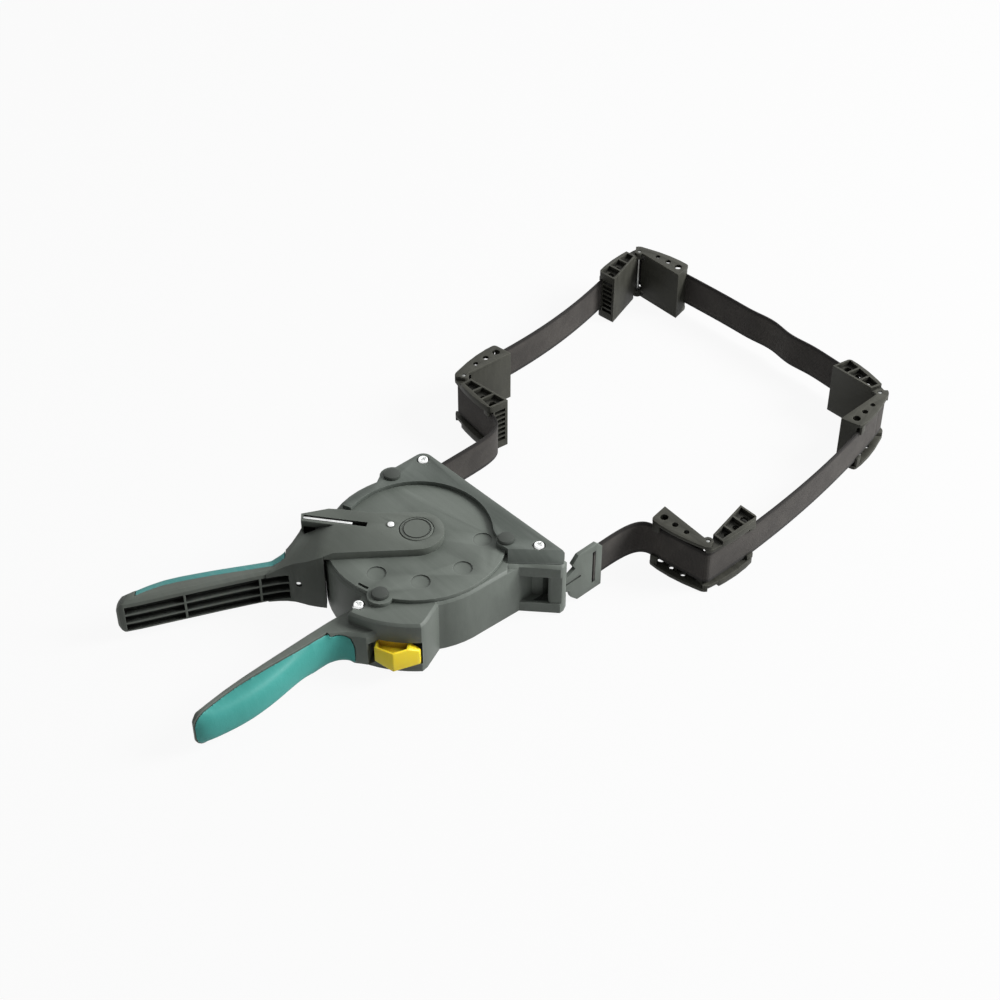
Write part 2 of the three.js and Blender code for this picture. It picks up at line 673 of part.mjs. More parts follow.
// Nose: socket of the clip, its mouth and the window in the slanted side
const noseBack = bodyRadius + 6.5;
const slantWall = (noseWall + columnBack) * Math.SQRT2;
const slantLine = (x) => x - bodyRadius + noseStart + slantWall;
const socketRight = noseRight - noseWall;
const socketOutline = [
  point(noseBack, slantLine(noseBack)), point(socketRight, slantLine(socketRight)),
  point(socketRight, frontFace - noseWall), point(noseBack, frontFace - noseWall),
];
const mouthHalf = clipThick / 2 + runGap;
// A place on the slanted side: so far along it from the round body, and so far in
function slantPlace(along, inward) {
  const step = Math.SQRT1_2;
  return point(bodyRadius + (along - inward) * step, noseStart + (along + inward) * step);
}
// The body's side runs on behind the ledges, up to the column
const flankX = bodyRadius + noseFlare;
const windowCorner = slantPlace(columnFrom, windowDeep);
const noseWindow = prism([
  point(flankX, noseStart - overcut), slantPlace(2 * noseSlant, -overcut),
  slantPlace(2 * noseSlant, columnBack), slantPlace(columnFrom + noseWall, columnBack),
  slantPlace(columnFrom + noseWall / 4, columnBack + noseWall / 2), slantPlace(columnFrom, 2 * noseWall),
  windowCorner, point(flankX, windowCorner.y - windowCorner.x + flankX),
], windowLow, windowHigh);
// The slope from the front plate's top down to the slanted side
const noseSlope = prism([
  point(-slopeRun, noseTop), point(0, noseTop), point(slopeRun, plateTop),
  point(slopeRun, allHigh), point(-slopeRun, allHigh),
], slopeFrom, bodyRadius);
noseSlope.rotateX(Math.PI / 2).rotateZ(Math.PI * 0.75).translate(bodyRadius, noseStart, 0);
const corridor = stripOutline([...leadOut.slice(2), point(exitX, frontFace + overcut)], 6);
const spindleSeat = 2.2;

const roundBody = prism(bodyOutline, 0, bodyHeight, bodyRound);
const pod = prism(podOutline, 0, bodyHeight, bodyRound);
const mouth = box(
  clipPlane - mouthHalf, clipPlane + mouthHalf, frontFace - 2 * noseWall, frontFace + overcut,
  neckLow - runGap, neckHigh + runGap,
);
const housing = cut(
  join(
    cut(
      join(roundBody, pod, handleSpine),
      cylinder(cavityRadius, floorThick, bodyHeight + overcut, origin, 48),
    ),
    cylinder(spindleBoss, floorThick - seatGap, bossHeight),
    cylinder(postRadius, floorThick - seatGap, postHigh, holdAt, 10),
  ),
  cylinder(spindleRadius + seatGap, spindleSeat, allHigh),
  cylinder(pawlPinRadius + seatGap, holdPinLow - seatGap, allHigh, holdAt, 10),
  prism(corridor, bandLow - 1, bandHigh + 1),
  prism(socketOutline, bandLow, bandHigh),
  mouth,
  noseWindow,
  noseSlope,
  ...podCuts,
  ...studHoles,
  ...screwHoles,
  screwSeats[2],
);
piece('housing_base', housing, greyPlastic);

// Reel cover
const dimples = Array.from({ length: dimpleCount }, (_, i) => {
  const at = polar(dimpleCircle, dimpleFirst + dimpleSpacing * i);
  return cylinder(dimpleRadius, coverTop - dimpleDepth, coverTop + overcut, at, 16);
});
const cover = join(
  cylinder(coverRadius, coverLow, coverTop, origin, 48),
  cylinder(earRadius, coverLow, coverTop, studAt.near, 16),
);
const coverSlot = box(slotCircle - slotWidth, slotCircle, -slotLength / 2, slotLength / 2, 0, allHigh);
coverSlot.rotateZ(radians(slotAngle));
const coverCuts = [cylinder(coverHole, 0, allHigh), coverSlot, ...dimples, ...studHoles];
piece('reel_cover', cut(cover, ...coverCuts), greyPlastic);

// Front plate: over the housing's front, with a rim round the cover's far side
const plateCornerRadius = cornerRadius - seatGap;
const lobeRadius = studHead + 0.8;
// where the slope meets the plate's underside
const plateFoot = slopeRun * (coverLow - noseTop) / (plateTop - noseTop);
const plateOutline = [
  slantPlace(slopeFrom, slopeRun), slantPlace(slopeFrom, plateFoot),
  slantPlace(noseSlant * Math.SQRT2, plateFoot),
  point(noseRight - 1, frontFace - noseChamfer + 0.5), point(noseRight - noseChamfer, frontFace),
  point(cornerX, frontFace - seatGap),
  ...arc(cornerCentre, plateCornerRadius, 90, leftTangent, 6),
  ...arc(studAt.left, earRadius, 125, 235, 6),
  ...arc(origin, rimOuter, 167, rimEnd, 6),
  ...arc(origin, rimRadius, rimEnd, 50, 24),
  ...arc(studAt.right, lobeRadius, 200, 300, 5),
];
const plate = cut(
  prism(plateOutline, coverLow, plateTop),
  noseSlope,
  cylinder(coverRadius + seatGap, 0, plateLow, origin, 48),
  ...studHoles.slice(0, 2), ...screwHoles.slice(0, 2), ...screwSeats.slice(0, 2),
);
piece('front_plate', plate, greyPlastic);

for (const [name, at] of Object.entries(studAt)) {
  const low = studSeat[name] + seatGap;
  const head = cylinder(studHead, low, low + studRise, at, 20, studHead * 0.8);
  piece(`cover_stud_${name}`, join(head, cylinder(studShank, studEnd, low + 1, at, 8)), leverPlastic);
}
for (const [name, at] of Object.entries(screwAt)) {
  const low = screwSeat[name] - screwSink + seatGap;
  const high = low + screwRise;
  const head = cylinder(screwHead, low, high, at, 18, screwHead * 0.75);
  const shank = cylinder(screwShank, low - shankLength, low + 1, at, 8);
  const armLength = screwHead * 0.55;
  const armWide = screwHead * 0.13;
  const cross = [[armLength, armWide], [armWide, armLength]].map(([x, y]) => {
    return box(at.x - x, at.x + x, at.y - y, at.y + y, high - 1, high + overcut);
  });
  piece(`cover_screw_${name}`, cut(join(head, shank), ...cross), steel);
}

// Reel: spindle, drum, wound band and ratchet wheel
piece('spindle', cylinder(spindleRadius, spindleSeat + seatGap, armTop - capSink - 3 * seatGap), steel);
const drumLow = floorThick + 2 * runGap;
const drumTop = wheelLow - seatGap;
const drumBore = spindleRadius + runGap;
const drumWell = spindleBoss + 2 * runGap;
const drumProfile = [
  [drumWell, drumLow], [flangeRadius, drumLow], [flangeRadius, drumLow + drumFlange],
  [drumCore, drumLow + drumFlange], [drumCore, drumTop], [drumBore, drumTop],
  [drumBore, bossHeight + runGap], [drumWell, bossHeight + runGap],
];
piece('reel_drum', turned(drumProfile), leverPlastic);
const coreSeat = drumCore + seatGap;
const woundProfile = [
  [coreSeat, bandLow], [woundRadius, bandLow], [woundRadius, bandHigh], [coreSeat, bandHigh],
];
piece('band_wound', turned(woundProfile), webbing);
// Every tooth has its steep face clockwise, one of them where the drive pawl stands
const firstTooth = leverAngle + pawlReach;
const toothOutline = Array.from({ length: toothCount }, (_, i) => {
  const way = firstTooth + toothPitch * i;
  const back = polar((toothTip + toothRoot) / 2, way + (toothPitch + toothLean) / 2);
  return [polar(toothRoot, way), polar(toothTip, way + toothLean), back];
}).flat();
const wheelBore = cylinder(drumBore, 0, allHigh);
piece('ratchet_wheel', cut(prism(toothOutline, wheelLow, wheelHigh), wheelBore), steel);

// Pawls: drawn with the pin on the x axis and the tip meeting a tooth
const pinPlace = point(pawlPivot, 0);
const tipWay = pawlReach - 0.6;
const pawlOutline = [
  polar(toothRoot + 0.7, tipWay), polar(toothTip + 1.6, tipWay), ...arc(pinPlace, pawlHub, 35, -125, 8),
  polar(toothTip + 1.2, pawlReach * 0.23), polar(toothTip + 0.7, pawlReach * 0.41),
  polar(toothTip - 1.1, pawlReach * 0.68),
];
// A place beside a pawl's back: a share of the way from its hub to its tip, and so far off it
const backFrom = polar(pawlHub, 35).add(pinPlace);
const backTo = polar(toothTip + 1.6, tipWay);
const backWay = backTo.clone().sub(backFrom).normalize();
function besideBack(share, off, turn = 0) {
  const place = backFrom.clone().lerp(backTo, share).add(point(backWay.y, -backWay.x).multiplyScalar(off));
  return place.rotateAround(pinPlace, radians(turn));
}
const tailPlace = pinPlace.clone().add(polar(pawlTail, -45));
const pawlHole = cylinder(pawlPinRadius + runGap, 0, allHigh, pinPlace, 10);
const drivePawl = cut(prism(pawlOutline, pawlLow, wheelHigh), pawlHole);
const tailOutline = [
  ...arc(tailPlace, pawlTailRound, -135, 45, 6), ...arc(pinPlace, pawlTailRound, 45, 225, 6),
];
const holdShape = join(prism(pawlOutline, pawlLow, wheelHigh), prism(tailOutline, pawlLow, wheelHigh));
const lift = new THREE.Matrix4().makeTranslation(pawlPivot, 0, 0);
lift.multiply(new THREE.Matrix4().makeRotationZ(radians(-pawlLift)));
lift.multiply(new THREE.Matrix4().makeTranslation(-pawlPivot, 0, 0));
const holdFrame = turnedGroup(holdAngle);
// The hold pawl rests lifted, as the clamp is with its band let out
const liftedGroup = new THREE.Group();
liftedGroup.applyMatrix4(lift);
holdFrame.add(liftedGroup);
piece('hold_pawl', cut(holdShape, pawlHole), steel, liftedGroup);
const holdPin = cylinder(pawlPinRadius, holdPinLow, carrierLow - runGap, pinPlace, 10);
piece('hold_pawl_pin', holdPin, steel, holdFrame);
const holdLeaf = [[0.19, 3], [0.38, 3], [0.58, 1.9], [0.74, 0.65]].map(([share, off]) => {
  return besideBack(share, off, -pawlLift);
});
const holdSpring = prism(stripOutline(holdLeaf, springLeaf), pawlLow + runGap, wheelHigh);
piece('hold_pawl_spring', holdSpring, steel, holdFrame);

// Release lever: hub on its pin, a finger to the hold pawl's tail and the yellow key outside
const fingerPlace = point(...fingerAt);
const fingerWay = THREE.MathUtils.radToDeg(Math.atan2(fingerPlace.y, fingerPlace.x - releasePivot));
const fingerOutline = [
  ...arc(fingerPlace, fingerRound, fingerWay - 90, fingerWay + 90, 6),
  ...arc(releaseAt, releaseHub * 0.8, fingerWay + 90, fingerWay + 270, 8),
];
const [ridgeOut, ridgeAt] = keyRidge;
const keyOutline = [
  [-3, keyLeft], [5, keyLeft], [ridgeOut - 0.3, ridgeAt - 1.3], [ridgeOut, ridgeAt],
  [ridgeOut - 1, ridgeAt + 1.9], [-0.8, keyRight - 0.4], [-3, keyRight],
].map(([x, y]) => point(podRadius + x, y));
// The key seen from outside, with its two chamfers
const keySide = prism([
  point(keyLeft, releaseLow + keyTaper), point(ridgeAt, releaseLow), point(keyRight, releaseLow),
  point(keyRight, releaseHigh - keyTaper), point(keyRight - 1.5 * keyTaper, releaseHigh),
  point(keyLeft, releaseHigh),
], releasePivot, podRadius + keyClear).rotateX(Math.PI / 2).rotateZ(Math.PI / 2);
const keyNeck = box(releasePivot, podRadius, -releaseHub, releaseHub, releaseLow, releaseHigh);
const release = cut(
  join(
    cylinder(releaseHub, releaseLow, fingerHigh, releaseAt),
    prism(fingerOutline, fingerLow, fingerHigh),
    keyNeck,
    common(prism(keyOutline, releaseLow, releaseHigh), keySide),
  ),
  cylinder(releasePinRadius + runGap, 0, allHigh, releaseAt, 10),
);
const podFrame = turnedGroup(podAngle);
piece('release_lever', release, yellowPlastic, podFrame);
const releasePin = cylinder(
  releasePinRadius, floorThick + seatGap, bodyHeight - 1 - seatGap, releaseAt, 10,
);
piece('release_pin', releasePin, steel, podFrame);

// Pump lever: arm over the cover, block beside the housing, and the handle
const lever = turnedGroup(leverAngle);
const armEnd = bodyRadius + 9;
const farBend = bodyRadius - 3.5; // where the arm's far side turns in
const armOutline = [
  ...arc(point(0, armShift), armHalf, 90, 250, 12), point(armHalf * 1.6, -armHalf + armShift),
  point(bodyRadius - 11, -armFar + 1), point(farBend, -armFar),
  point(armEnd, -armFar + 3), point(armEnd, armNear),
];
// Each place is given as a distance beyond the round body, and across
const outward = (places) => places.map(([x, y]) => [bodyRadius + x, y]);
const nearSide = outward([[-1, 20], [9, 19], [21, 16.4], [38, 19.3], [77, 30], [109, 39.3]]);
const farSide = outward([
  [119, 32.5], [97, 20], [69, 12.5], [39, 6.5], [24, 2.5], [16, -8], [11.5, -15.5], [-1, -19.5],
]);
const leverNear = smooth(nearSide, 14);
const leverFar = smooth(farSide, 20);
const leverTip = smooth(outward([
  [115, 40.8], [119.5, 41.6], [122.6, 39.6], [122.6, 36.4], [120.8, 34.2],
]), 6);
const leverOutline = [...leverNear, ...leverTip, ...leverFar];
const leverEnd = Math.max(...leverTip.map((place) => place.x));
const blockOut = bodyRadius + 35; // where the block's sloping faces have run into the handle
const slopeStart = bodyRadius - 7;
const slopeCut = prism([
  point(slopeStart, armTop), point(blockOut, gripHigh - 2), point(blockOut + overcut, gripHigh - 2),
  point(blockOut + overcut, armTop + overcut), point(slopeStart, armTop + overcut),
], -bodyRadius, bodyRadius).rotateX(Math.PI / 2);
const underCut = prism([
  point(slopeStart, -overcut), point(blockOut + overcut, -overcut), point(blockOut + overcut, gripLow + 2),
  point(blockOut, gripLow + 2), point(slopeStart, blockLow),
], -bodyRadius, bodyRadius).rotateX(Math.PI / 2);
const blockOutline = [...leverNear, ...leverFar].filter((place) => place.x < blockOut);
const block = cut(prism(blockOutline, blockLow, armTop), slopeCut, underCut);
// The rail that carries the spring wire stays level past the slope, with a hollow under it
const wireEnd = point(...wireTo);
const wireStart = point(...wireFrom);
const wireLean = (wireEnd.y - wireStart.y) / (wireEnd.x - wireStart.x);
const railSide = (x) => wireStart.y + (x - wireStart.x) * wireLean + 3 * wireRadius;
const railEnd = bodyRadius + 13.2;
const railNear = railSide(railEnd);
const rail = prism([
  point(slopeStart, railSide(slopeStart)), point(railEnd, railNear), point(railEnd, railNear - 6.5),
  point(armEnd, -armFar + 3), point(farBend, -armFar), point(slopeStart, -armFar + 0.5),
], gripHigh, armTop);
const hollow = box(
  bodyRadius + 2.5, railEnd - 1.3, railNear - 4, railNear + 3, gripHigh + 5, armTop - 3.2 * wireRadius,
);
const bossLow = carrierHigh + runGap;
const squareHalf = driveSquare / 2;
const leverBar = prism(leverOutline, gripLow, gripHigh, gripRound, gripRise);
const leverSolid = join(
  cut(prism(armOutline, armLow, armTop), slopeCut),
  cut(
    join(block, rail, common(leverBar, sideView(leverEnd))),
    hollow,
    cylinder(blockInner, 0, armLow, origin, 48),
  ),
  cylinder(coverHole - 2 * runGap, bossLow, armLow + overcut),
  box(-squareHalf, squareHalf, -squareHalf, squareHalf, carrierLow + seatGap, bossLow + overcut),
);

// The soft strip along the lever's far side, and the room that the lever leaves for it
const gripFrom = bodyRadius + 23;
const gripTo = bodyRadius + 111;
function stripRoom(gap) {
  const edge = leverFar.map((place) => point(place.x, place.y + leverGripThick + gap));
  const away = [point(-bodyRadius, -bodyRadius), point(4 * bodyRadius, -bodyRadius)];
  const zone = prism([...edge, ...away], 0, bodyHeight);
  return common(zone, box(gripFrom - gap, gripTo + gap, -bodyRadius, bodyRadius, 0, bodyHeight));
}
piece('lever_grip', common(leverSolid, stripRoom(0)), tealRubber, lever);

// Hollow ribs in the near side of the lever's handle
const ribFrame = point(...nearSide[3]);
const ribTurn = 15.5;
const ribColumns = [[-18, 0], [0, 46], [46, 83]];
const rowHeight = (pocketHigh - pocketLow) / ribRows;
const pockets = ribColumns.flatMap(([from, to]) => Array.from({ length: ribRows }, (_, i) => {
  const low = pocketLow + rowHeight * i;
  const pocket = box(
    from + ribThick / 2, to - ribThick / 2, -pocketDepth, 2 * pocketDepth,
    low + ribThick / 2, low + rowHeight - ribThick / 2,
  );
  return pocket.rotateZ(radians(ribTurn)).translate(ribFrame.x, ribFrame.y, 0);
}));
const wireSlot = stripOutline([wireStart, wireEnd], 3 * wireRadius);
const rivetPlace = point(...rivetAt);
const [crossPinX, crossPinZ] = crossPinAt;
const crossPinNear = 16.5;
function crossRod(radius, from, to) {
  const geometry = new THREE.CylinderGeometry(radius, radius, to - from, 10);
  return geometry.translate(crossPinX, (from + to) / 2, crossPinZ);
}
const leverCore = cut(
  leverSolid,
  stripRoom(seatGap),
  cylinder(spindleRadius + runGap, 0, armTop + overcut),
  cylinder(capRadius + seatGap, armTop - capSink, armTop + overcut, origin, 32),
  prism(wireSlot, armTop - 2.5 * wireRadius, armTop + overcut),
  cylinder(rivetRadius + seatGap, armLow - overcut, armTop + overcut, rivetPlace, 8),
  crossRod(crossPinRadius + seatGap, crossPinNear - crossPinLength - seatGap, 2 * crossPinNear),
  ...pockets,
);
piece('lever_core', leverCore, leverPlastic, lever);
const capLow = armTop - capSink + seatGap;
const cap = cylinder(capRadius, capLow, capLow + capThick, origin, 32, capRadius - 0.8);
piece('pivot_cap', cap, greyPlastic, lever);
const rivet = join(
  cylinder(rivetRadius, armLow + seatGap, armTop + 1, rivetPlace, 8),
  cylinder(rivetRadius * 1.7, armTop + seatGap, armTop + 1, rivetPlace, 12, rivetRadius * 1.4),
);
piece('arm_rivet', rivet, steel, lever);
const crossPin = crossRod(crossPinRadius, crossPinNear - crossPinLength, crossPinNear);
piece('lever_cross_pin', crossPin, steel, lever);
const wireHigh = armTop - wireRadius;
const wireTip = wireStart.clone().lerp(wireEnd, wireShort / wireStart.distanceTo(wireEnd));
const wirePath = new THREE.LineCurve3(
  new THREE.Vector3(wireTip.x, wireTip.y, wireHigh),
  new THREE.Vector3(wireEnd.x - seatGap, wireEnd.y, wireHigh),
);
piece('return_spring', rod(wirePath, wireRadius, 8, 2), steel, lever);

// Pawl carrier under the cover, keyed to the lever
const carrierOutline = [...arc(origin, carrierHub, 78, 282, 12), ...arc(pinPlace, carrierEnd, -85, 85, 10)];
const keyHalf = squareHalf + seatGap;
const carrier = cut(
  prism(carrierOutline, carrierLow, carrierHigh),
  box(-keyHalf, keyHalf, -keyHalf, keyHalf, 0, allHigh),
  cylinder(pawlPinRadius + seatGap, 0, allHigh, pinPlace, 10),
);
piece('pawl_carrier', carrier, steel, lever);
piece('drive_pawl', drivePawl, steel, lever);
piece('drive_pawl_pin', cylinder(pawlPinRadius, pawlLow, carrierHigh, pinPlace, 10), steel, lever);
const leafRound = pawlHub + 0.8;
const driveLeaf = [
  ...arc(pinPlace, leafRound, -34, 30, 2),
  ...[0.1, 0.3, 0.55].map((share) => besideBack(share, leafRound - pawlHub)),
];
const driveSpring = prism(stripOutline(driveLeaf, springLeaf), pawlLow + runGap, carrierLow - seatGap);
piece('drive_pawl_spring', driveSpring, steel, lever);

export default model;
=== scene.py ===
import math

import bmesh
import bpy
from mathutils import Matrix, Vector
from mathutils.geometry import interpolate_bezier


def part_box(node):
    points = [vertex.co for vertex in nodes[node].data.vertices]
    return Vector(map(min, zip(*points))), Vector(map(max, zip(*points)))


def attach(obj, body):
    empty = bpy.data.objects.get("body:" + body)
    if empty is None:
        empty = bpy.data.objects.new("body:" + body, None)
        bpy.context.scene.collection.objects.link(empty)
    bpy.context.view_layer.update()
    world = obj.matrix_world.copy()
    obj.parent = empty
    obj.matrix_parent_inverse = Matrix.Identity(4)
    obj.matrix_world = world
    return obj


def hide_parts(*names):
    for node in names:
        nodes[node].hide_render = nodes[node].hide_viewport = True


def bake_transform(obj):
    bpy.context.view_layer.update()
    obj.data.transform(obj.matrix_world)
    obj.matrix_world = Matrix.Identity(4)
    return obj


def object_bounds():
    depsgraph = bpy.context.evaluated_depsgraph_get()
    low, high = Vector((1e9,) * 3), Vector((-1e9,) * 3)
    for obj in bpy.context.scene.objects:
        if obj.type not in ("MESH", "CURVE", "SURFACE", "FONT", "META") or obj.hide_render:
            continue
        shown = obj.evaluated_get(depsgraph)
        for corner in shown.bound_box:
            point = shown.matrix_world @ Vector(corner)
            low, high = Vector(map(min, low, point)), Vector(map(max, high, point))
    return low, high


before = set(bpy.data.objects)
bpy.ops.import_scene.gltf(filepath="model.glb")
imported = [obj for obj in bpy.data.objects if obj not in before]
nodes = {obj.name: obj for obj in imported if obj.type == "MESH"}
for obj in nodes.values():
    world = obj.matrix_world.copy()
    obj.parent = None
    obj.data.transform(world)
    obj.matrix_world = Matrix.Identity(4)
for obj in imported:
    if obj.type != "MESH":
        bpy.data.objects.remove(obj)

mm = 0.001
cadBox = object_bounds()
print("frame loaded with", len(nodes), "nodes")


# Finishes

def srgb(red, green, blue):
    # a colour as seen on screen, made linear for the shader
    shares = [value / 255 for value in (red, green, blue)]
    linear = [s / 12.92 if s <= 0.04045 else ((s + 0.055) / 1.055) ** 2.4 for s in shares]
    return (*linear, 1)


def startFinish(name, roughness, specular=0.5, metallic=0.0):
    material = bpy.data.materials.new(name)
    material.use_nodes = True
    shader = material.node_tree.nodes["Principled BSDF"]
    shader.inputs["Roughness"].default_value = roughness
    shader.inputs["Metallic"].default_value = metallic
    shader.inputs["Specular IOR Level"].default_value = specular
    return material, material.node_tree, shader


def addNode(tree, kind, **values):
    node = tree.nodes.new(kind)
    for name, value in values.items():
        node.inputs[name.replace("_", " ")].default_value = value
    return node


def objectPlace(tree, stretch=(1, 1, 1), turn=0.0):
    place = tree.nodes.new("ShaderNodeTexCoord").outputs["Object"]
    if stretch == (1, 1, 1) and turn == 0.0:
        return place
    mapping = addNode(tree, "ShaderNodeMapping", Scale=stretch, Rotation=(0, 0, turn))
    tree.links.new(place, mapping.inputs["Vector"])
    return mapping.outputs["Vector"]


def noiseAt(tree, place, scale, detail=3.0, roughness=0.55):
    noise = addNode(tree, "ShaderNodeTexNoise", Scale=scale, Detail=detail, Roughness=roughness)
    tree.links.new(place, noise.inputs["Vector"])
    return noise.outputs["Fac"]


def spread(tree, value, low, high, newLow=0.0, newHigh=1.0):
    ends = {"From_Min": low, "From_Max": high, "To_Min": newLow, "To_Max": newHigh}
    span = addNode(tree, "ShaderNodeMapRange", **ends)
    tree.links.new(value, span.inputs["Value"])
    return span.outputs["Result"]


def blendColours(tree, share, first, second):
    mix = tree.nodes.new("ShaderNodeMix")
    mix.data_type = "RGBA"
    tree.links.new(share, mix.inputs["Factor"])
    for socket, colour in ((mix.inputs["A"], first), (mix.inputs["B"], second)):
        if isinstance(colour, bpy.types.NodeSocket):
            tree.links.new(colour, socket)
        else:
            socket.default_value = colour
    return mix.outputs["Result"]


def calculate(tree, operation, *values):
    node = tree.nodes.new("ShaderNodeMath")
    node.operation = operation
    for socket, value in zip(node.inputs, values):
        if isinstance(value, bpy.types.NodeSocket):
            tree.links.new(value, socket)
        else:
            socket.default_value = value
    return node.outputs["Value"]


# how the shaders find a rounded edge, made lighter as wear and painted highlight, and a pocket, made darker
# as painted shade
surface = {"samples": 6, "flat": 0.995, "rounded": 0.80, "open": 0.92, "deep": 0.5}


def edgeShare(tree, radius):
    # near 1 on rounded edges, 0 on flats
    bevel = tree.nodes.new("ShaderNodeBevel")
    bevel.samples = surface["samples"]
    bevel.inputs["Radius"].default_value = radius
    geometry = tree.nodes.new("ShaderNodeNewGeometry")
    dot = tree.nodes.new("ShaderNodeVectorMath")
    dot.operation = "DOT_PRODUCT"
    tree.links.new(bevel.outputs["Normal"], dot.inputs[0])
    tree.links.new(geometry.outputs["Normal"], dot.inputs[1])
    return spread(tree, dot.outputs["Value"], surface["flat"], surface["rounded"])


def recessShare(tree, reach):
    # 1 deep in a pocket of the same part, 0 out in the open
    hidden = addNode(tree, "ShaderNodeAmbientOcclusion", Distance=reach)
    hidden.only_local = True
    hidden.samples = surface["samples"]
    return spread(tree, hidden.outputs["AO"], surface["open"], surface["deep"])


def raiseSurface(tree, shader, height, strength, distance):
    bump = addNode(tree, "ShaderNodeBump", Strength=strength, Distance=distance)
    tree.links.new(height, bump.inputs["Height"])
    tree.links.new(bump.outputs["Normal"], shader.inputs["Normal"])


# what all moulded parts share: drawn-out streaks, soft clouds and a fine grain
mould = {
    "streakStretch": (14, 260, 60), "streakTurn": 0.5, "streakDetail": 4, "streakRough": 0.65,
    "streakSpan": (0.42, 0.75), "cloudScale": 26, "cloudSpan": (0.3, 0.7),
    "gloss": (-0.06, 0.08), "grainHigh": 0.12 * mm,
}


def mouldedPlastic(name, look):
    material, tree, shader = startFinish(name, look["roughness"], look["specular"])
    place = objectPlace(tree)
    cloud = spread(tree, noiseAt(tree, place, mould["cloudScale"]), *mould["cloudSpan"])
    streakPlace = objectPlace(tree, mould["streakStretch"], mould["streakTurn"])
    streakNoise = noiseAt(tree, streakPlace, 1, mould["streakDetail"], mould["streakRough"])
    streaks = spread(tree, streakNoise, *mould["streakSpan"])
    body = blendColours(tree, cloud, look["colour"], look["shade"])
    faint = spread(tree, streaks, 0, 1, 0, look["streaks"])
    streaked = blendColours(tree, faint, body, look["light"])
    # wear and painted highlight: rounded edges turn lighter
    lightened = spread(tree, edgeShare(tree, look["edge"]), 0, 1, 0, look["edgeWearAndHighlight"])
    rubbed = blendColours(tree, lightened, streaked, look["light"])
    # painted shade: the colour darkens deep in the part's own pockets
    pocketShaded = spread(tree, recessShare(tree, look["recess"]), 0, 1, 0, look["pocketShadeShare"])
    tree.links.new(blendColours(tree, pocketShaded, rubbed, look["pocketShade"]), shader.inputs["Base Color"])
    grain = noiseAt(tree, place, look["grain"], 2)
    dull = spread(tree, streaks, 0, 1, *(look["roughness"] + change for change in mould["gloss"]))
    tree.links.new(dull, shader.inputs["Roughness"])
    raiseSurface(tree, shader, grain, look["relief"], mould["grainHigh"])
    return material


# in each look the pocket colour and its share are painted shade in the part's own pockets, and the edge
# share lightens rounded edges as wear and painted highlight
housingLook = {
    "colour": srgb(101, 107, 101), "shade": srgb(91, 97, 91),
    "light": srgb(140, 145, 140), "pocketShade": srgb(46, 49, 45),
    "roughness": 0.52, "specular": 0.25, "streaks": 0.14, "edge": 0.9 * mm, "edgeWearAndHighlight": 0.45,
    "recess": 9 * mm, "pocketShadeShare": 0.7, "grain": 1500, "relief": 0.35,
}
# the front plate is a shade darker than the cover inside it
plateLook = {
    **housingLook, "streaks": 0.22,
    "colour": srgb(90, 96, 91), "shade": srgb(80, 86, 81), "light": srgb(128, 133, 129),
}
leverLook = {
    "colour": srgb(97, 102, 96), "shade": srgb(87, 92, 86),
    "light": srgb(128, 133, 127), "pocketShade": srgb(14, 15, 13),
    "roughness": 0.52, "specular": 0.2, "streaks": 0.12, "edge": 0.9 * mm, "edgeWearAndHighlight": 0.4,
    "recess": 7 * mm, "pocketShadeShare": 1.0, "grain": 1500, "relief": 0.35,
}
jawLook = {
    "colour": srgb(64, 64, 58), "shade": srgb(53, 53, 48),
    "light": srgb(100, 100, 92), "pocketShade": srgb(15, 15, 13),
    "roughness": 0.54, "specular": 0.16, "streaks": 0.2, "edge": 0.9 * mm, "edgeWearAndHighlight": 0.5,
    "recess": 6 * mm, "pocketShadeShare": 0.9, "grain": 1300, "relief": 0.4,
}
studLook = {
    "colour": srgb(66, 70, 66), "shade": srgb(57, 61, 57),
    "light": srgb(96, 101, 96), "pocketShade": srgb(40, 43, 40),
    "roughness": 0.45, "specular": 0.25, "streaks": 0.1, "edge": 0.6 * mm, "edgeWearAndHighlight": 0.3,
    "recess": 3 * mm, "pocketShadeShare": 0.4, "grain": 1700, "relief": 0.25,
}
keyLook = {
    "colour": srgb(255, 228, 48), "shade": srgb(255, 218, 34),
    "light": srgb(255, 242, 120), "pocketShade": srgb(128, 98, 12),
    "roughness": 0.42, "specular": 0.4, "streaks": 0.12, "edge": 0.8 * mm, "edgeWearAndHighlight": 0.4,
    "recess": 8 * mm, "pocketShadeShare": 0.9, "grain": 1500, "relief": 0.2,
    "glow": 0.6, "glowReach": (6 * mm, 4.5 * mm, 0.8 * mm),
}
gripLook = {
    "colour": srgb(68, 156, 149), "shade": srgb(59, 146, 138),
    "light": srgb(106, 182, 177), "pocketShade": srgb(36, 92, 88),
    "roughness": 0.58, "specular": 0.3, "streaks": 0.15, "edge": 1.2 * mm, "edgeWearAndHighlight": 0.3,
    "recess": 6 * mm, "pocketShadeShare": 0.4, "grain": 1100, "relief": 0.5,
}
